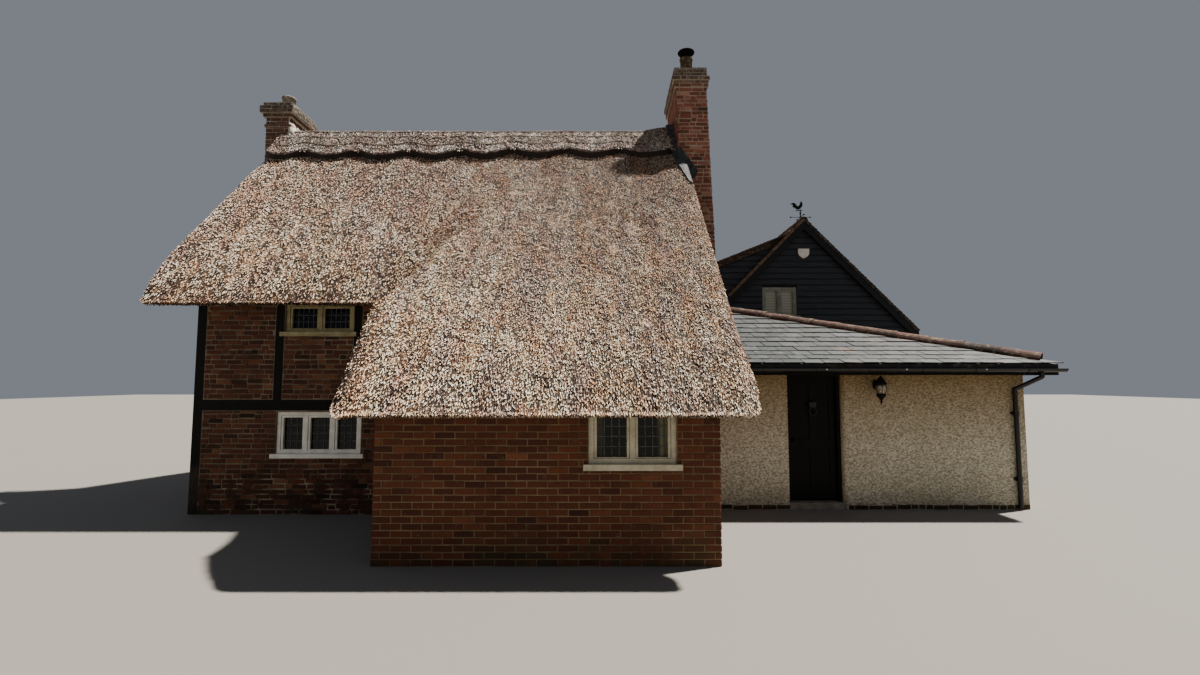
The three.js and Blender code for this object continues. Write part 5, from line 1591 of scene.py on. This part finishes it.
# %% Lantern: its profiles
cap = [(0.001, 1.905), (0.072, 1.908), (0.088, 1.918), (0.089, 1.930), (0.078, 1.950), (0.055, 1.985),
       (0.030, 2.018), (0.014, 2.030), (0.017, 2.042), (0.010, 2.054), (0.001, 2.056)]
drop = [(0.001, 1.612), (0.007, 1.618), (0.013, 1.640), (0.017, 1.655), (0.011, 1.668), (0.019, 1.682),
        (0.032, 1.702), (0.052, 1.722), (0.067, 1.745), (0.069, 1.766), (0.060, 1.776), (0.001, 1.778)]
lamp_profile = [(0.001, 1.776), (0.052, 1.777), (0.062, 1.800), (0.071, 1.835), (0.075, 1.870),
                (0.071, 1.907), (0.001, 1.908)]

# %% Lantern: bars, arm and wall plate
lamp = np.array([4.30, 2.43, 0]) + site
wall_face = wall_low[1]
arm_height, arm_rise, plate_height = 1.93, 0.125, 1.91
radii, heights = np.array(lamp_profile[1:-1]).T
bars = []
for angle in np.linspace(0, 2 * np.pi, 6, endpoint=False) + 0.3:
    path = np.stack([(radii + 0.004) * np.cos(angle), (radii + 0.004) * np.sin(angle), heights], -1)
    bars.append(rod(path + lamp, 0.0045, 6))
bend = np.linspace(0, np.pi * 0.5, 9)
arm_y = wall_face - (wall_face - lamp[1]) * np.sin(bend)
arm = np.stack([0 * bend + lamp[0], arm_y, arm_height + arm_rise * (1 - np.cos(bend))], -1)
arm = np.concatenate([[[lamp[0], wall_face + 0.004, arm_height]], arm])
cos, sin = circle(20)
oval = np.stack([0.048 * cos, 0 * cos, 0.075 * sin], -1)
plate_steps = [(1.0, 0.002), (1.0, -0.008), (0.8, -0.016), (0.3, -0.02)]
plate = np.concatenate([oval * share + np.array([lamp[0], wall_face + deep, plate_height])
                        for share, deep in plate_steps])
iron_parts = [turned(cap, lamp), turned(drop, lamp), rod(arm, 0.008, 8),
              (plate, ring_faces(len(plate_steps), len(oval))), *bars]
new_piece("lantern_ironwork", *gather(iron_parts), iron, "black_iron", smooth=True, replaces=["wall_lantern"])
lamp_glass = plain_finish("lantern_glass", (24, 2), [(0.35, "#6d6453"), (0.65, "#a39a86")], roughness=0.15)
new_piece("lantern_glass", *turned(lamp_profile, lamp), lamp_glass, "leaded_glass", smooth=True)


# %% [markdown]
# ## Pots
# Both pots and the cowl over the right-hand one are turned too, from their own profiles.

# %% Pots: turned profiles
def turned_pot(name, node_name, radius_share, above, finish):
    """A pot turned about the middle of a node of the frame, its lip a little above the node's top.

    Its outline is a straight side, a thick lip, and the hollow inside it."""
    low, high = corners(node_name)
    foot, top, radius = low[2], high[2] + above, (high[0] - low[0]) / 2 * radius_share
    profile = [(0.001, foot), (radius, foot), (radius * 0.96, top - 0.05), (radius * 1.06, top - 0.045),
               (radius * 1.08, top - 0.012), (radius, top), (radius * 0.84, top - 0.004),
               (radius * 0.8, foot + 0.02), (0.001, foot + 0.02)]
    points, faces = turned(profile, (low + high) / 2)
    new_piece(name, points, faces, finish, "clay", smooth=True, tone=np.full(len(points), 0.5),
              replaces=[node_name])


sooty_clay = clay_finish("sooty_clay", ["#1f1814", "#33271f", "#573b2d"], moss=0.5)
grey_pot = clay_finish("grey_pot", ["#4a453e", "#6b655c", "#8a847a"], lichen="#a39d92")
turned_pot("left_turned_pot", "left_chimney_pot", 1.0, 0.12, grey_pot)
turned_pot("right_turned_pot", "right_chimney_pot", 0.8, 0.0, sooty_clay)

# %% Pots: the cowl
cowl_low, cowl_high = corners("chimney_cowl")
brim = (cowl_high[0] - cowl_low[0]) / 2 * 1.04
foot, top = cowl_low[2] - 0.01, cowl_high[2] - 0.03
cowl_profile = [(0.001, foot), (brim * 0.70, foot), (brim * 0.70, top - 0.07), (brim * 0.97, top - 0.062),
                (brim, top - 0.05), (brim * 0.95, top - 0.036), (brim * 0.6, top - 0.012), (brim * 0.3, top),
                (0.001, top + 0.002)]
new_piece("turned_cowl", *turned(cowl_profile, (cowl_low + cowl_high) / 2), sooty_iron, "black_iron",
          smooth=True, replaces=["chimney_cowl"])

# %% [markdown]
# ## Floor and light
# A plain floor, a cool sky, and one warm sun that stands high on the right.

# %% Floor and studio light
floor_half = 60
floor_finish = Finish("studio_floor")
floor_finish.shader.inputs["Base Color"].default_value = paint("#79756e")
floor_mesh = bpy.data.meshes.new("studio_floor")
floor_corners = [(x * floor_half, y * floor_half, 0) for x, y in ((-1, -1), (1, -1), (1, 1), (-1, 1))]
floor_mesh.from_pydata(floor_corners, [], [(0, 1, 2, 3)])
floor_mesh.materials.append(floor_finish.material)
floor = bpy.data.objects.new("studio_floor", floor_mesh)
bpy.context.scene.collection.objects.link(floor)

world = bpy.data.worlds.new("studio_sky")
world.use_nodes = True
world.node_tree.nodes["Background"].inputs["Color"].default_value = (0.8, 0.87, 1.0, 1)
world.node_tree.nodes["Background"].inputs["Strength"].default_value = 0.25
bpy.context.scene.world = world

key_data = bpy.data.lights.new("key", "SUN")
key_data.energy = 13.0
key_data.angle = math.radians(2)
key_data.color = (1.0, 0.95, 0.88)
key = bpy.data.objects.new("key", key_data)
key.rotation_euler = (math.radians(-10), math.radians(28), 0)
bpy.context.scene.collection.objects.link(key)
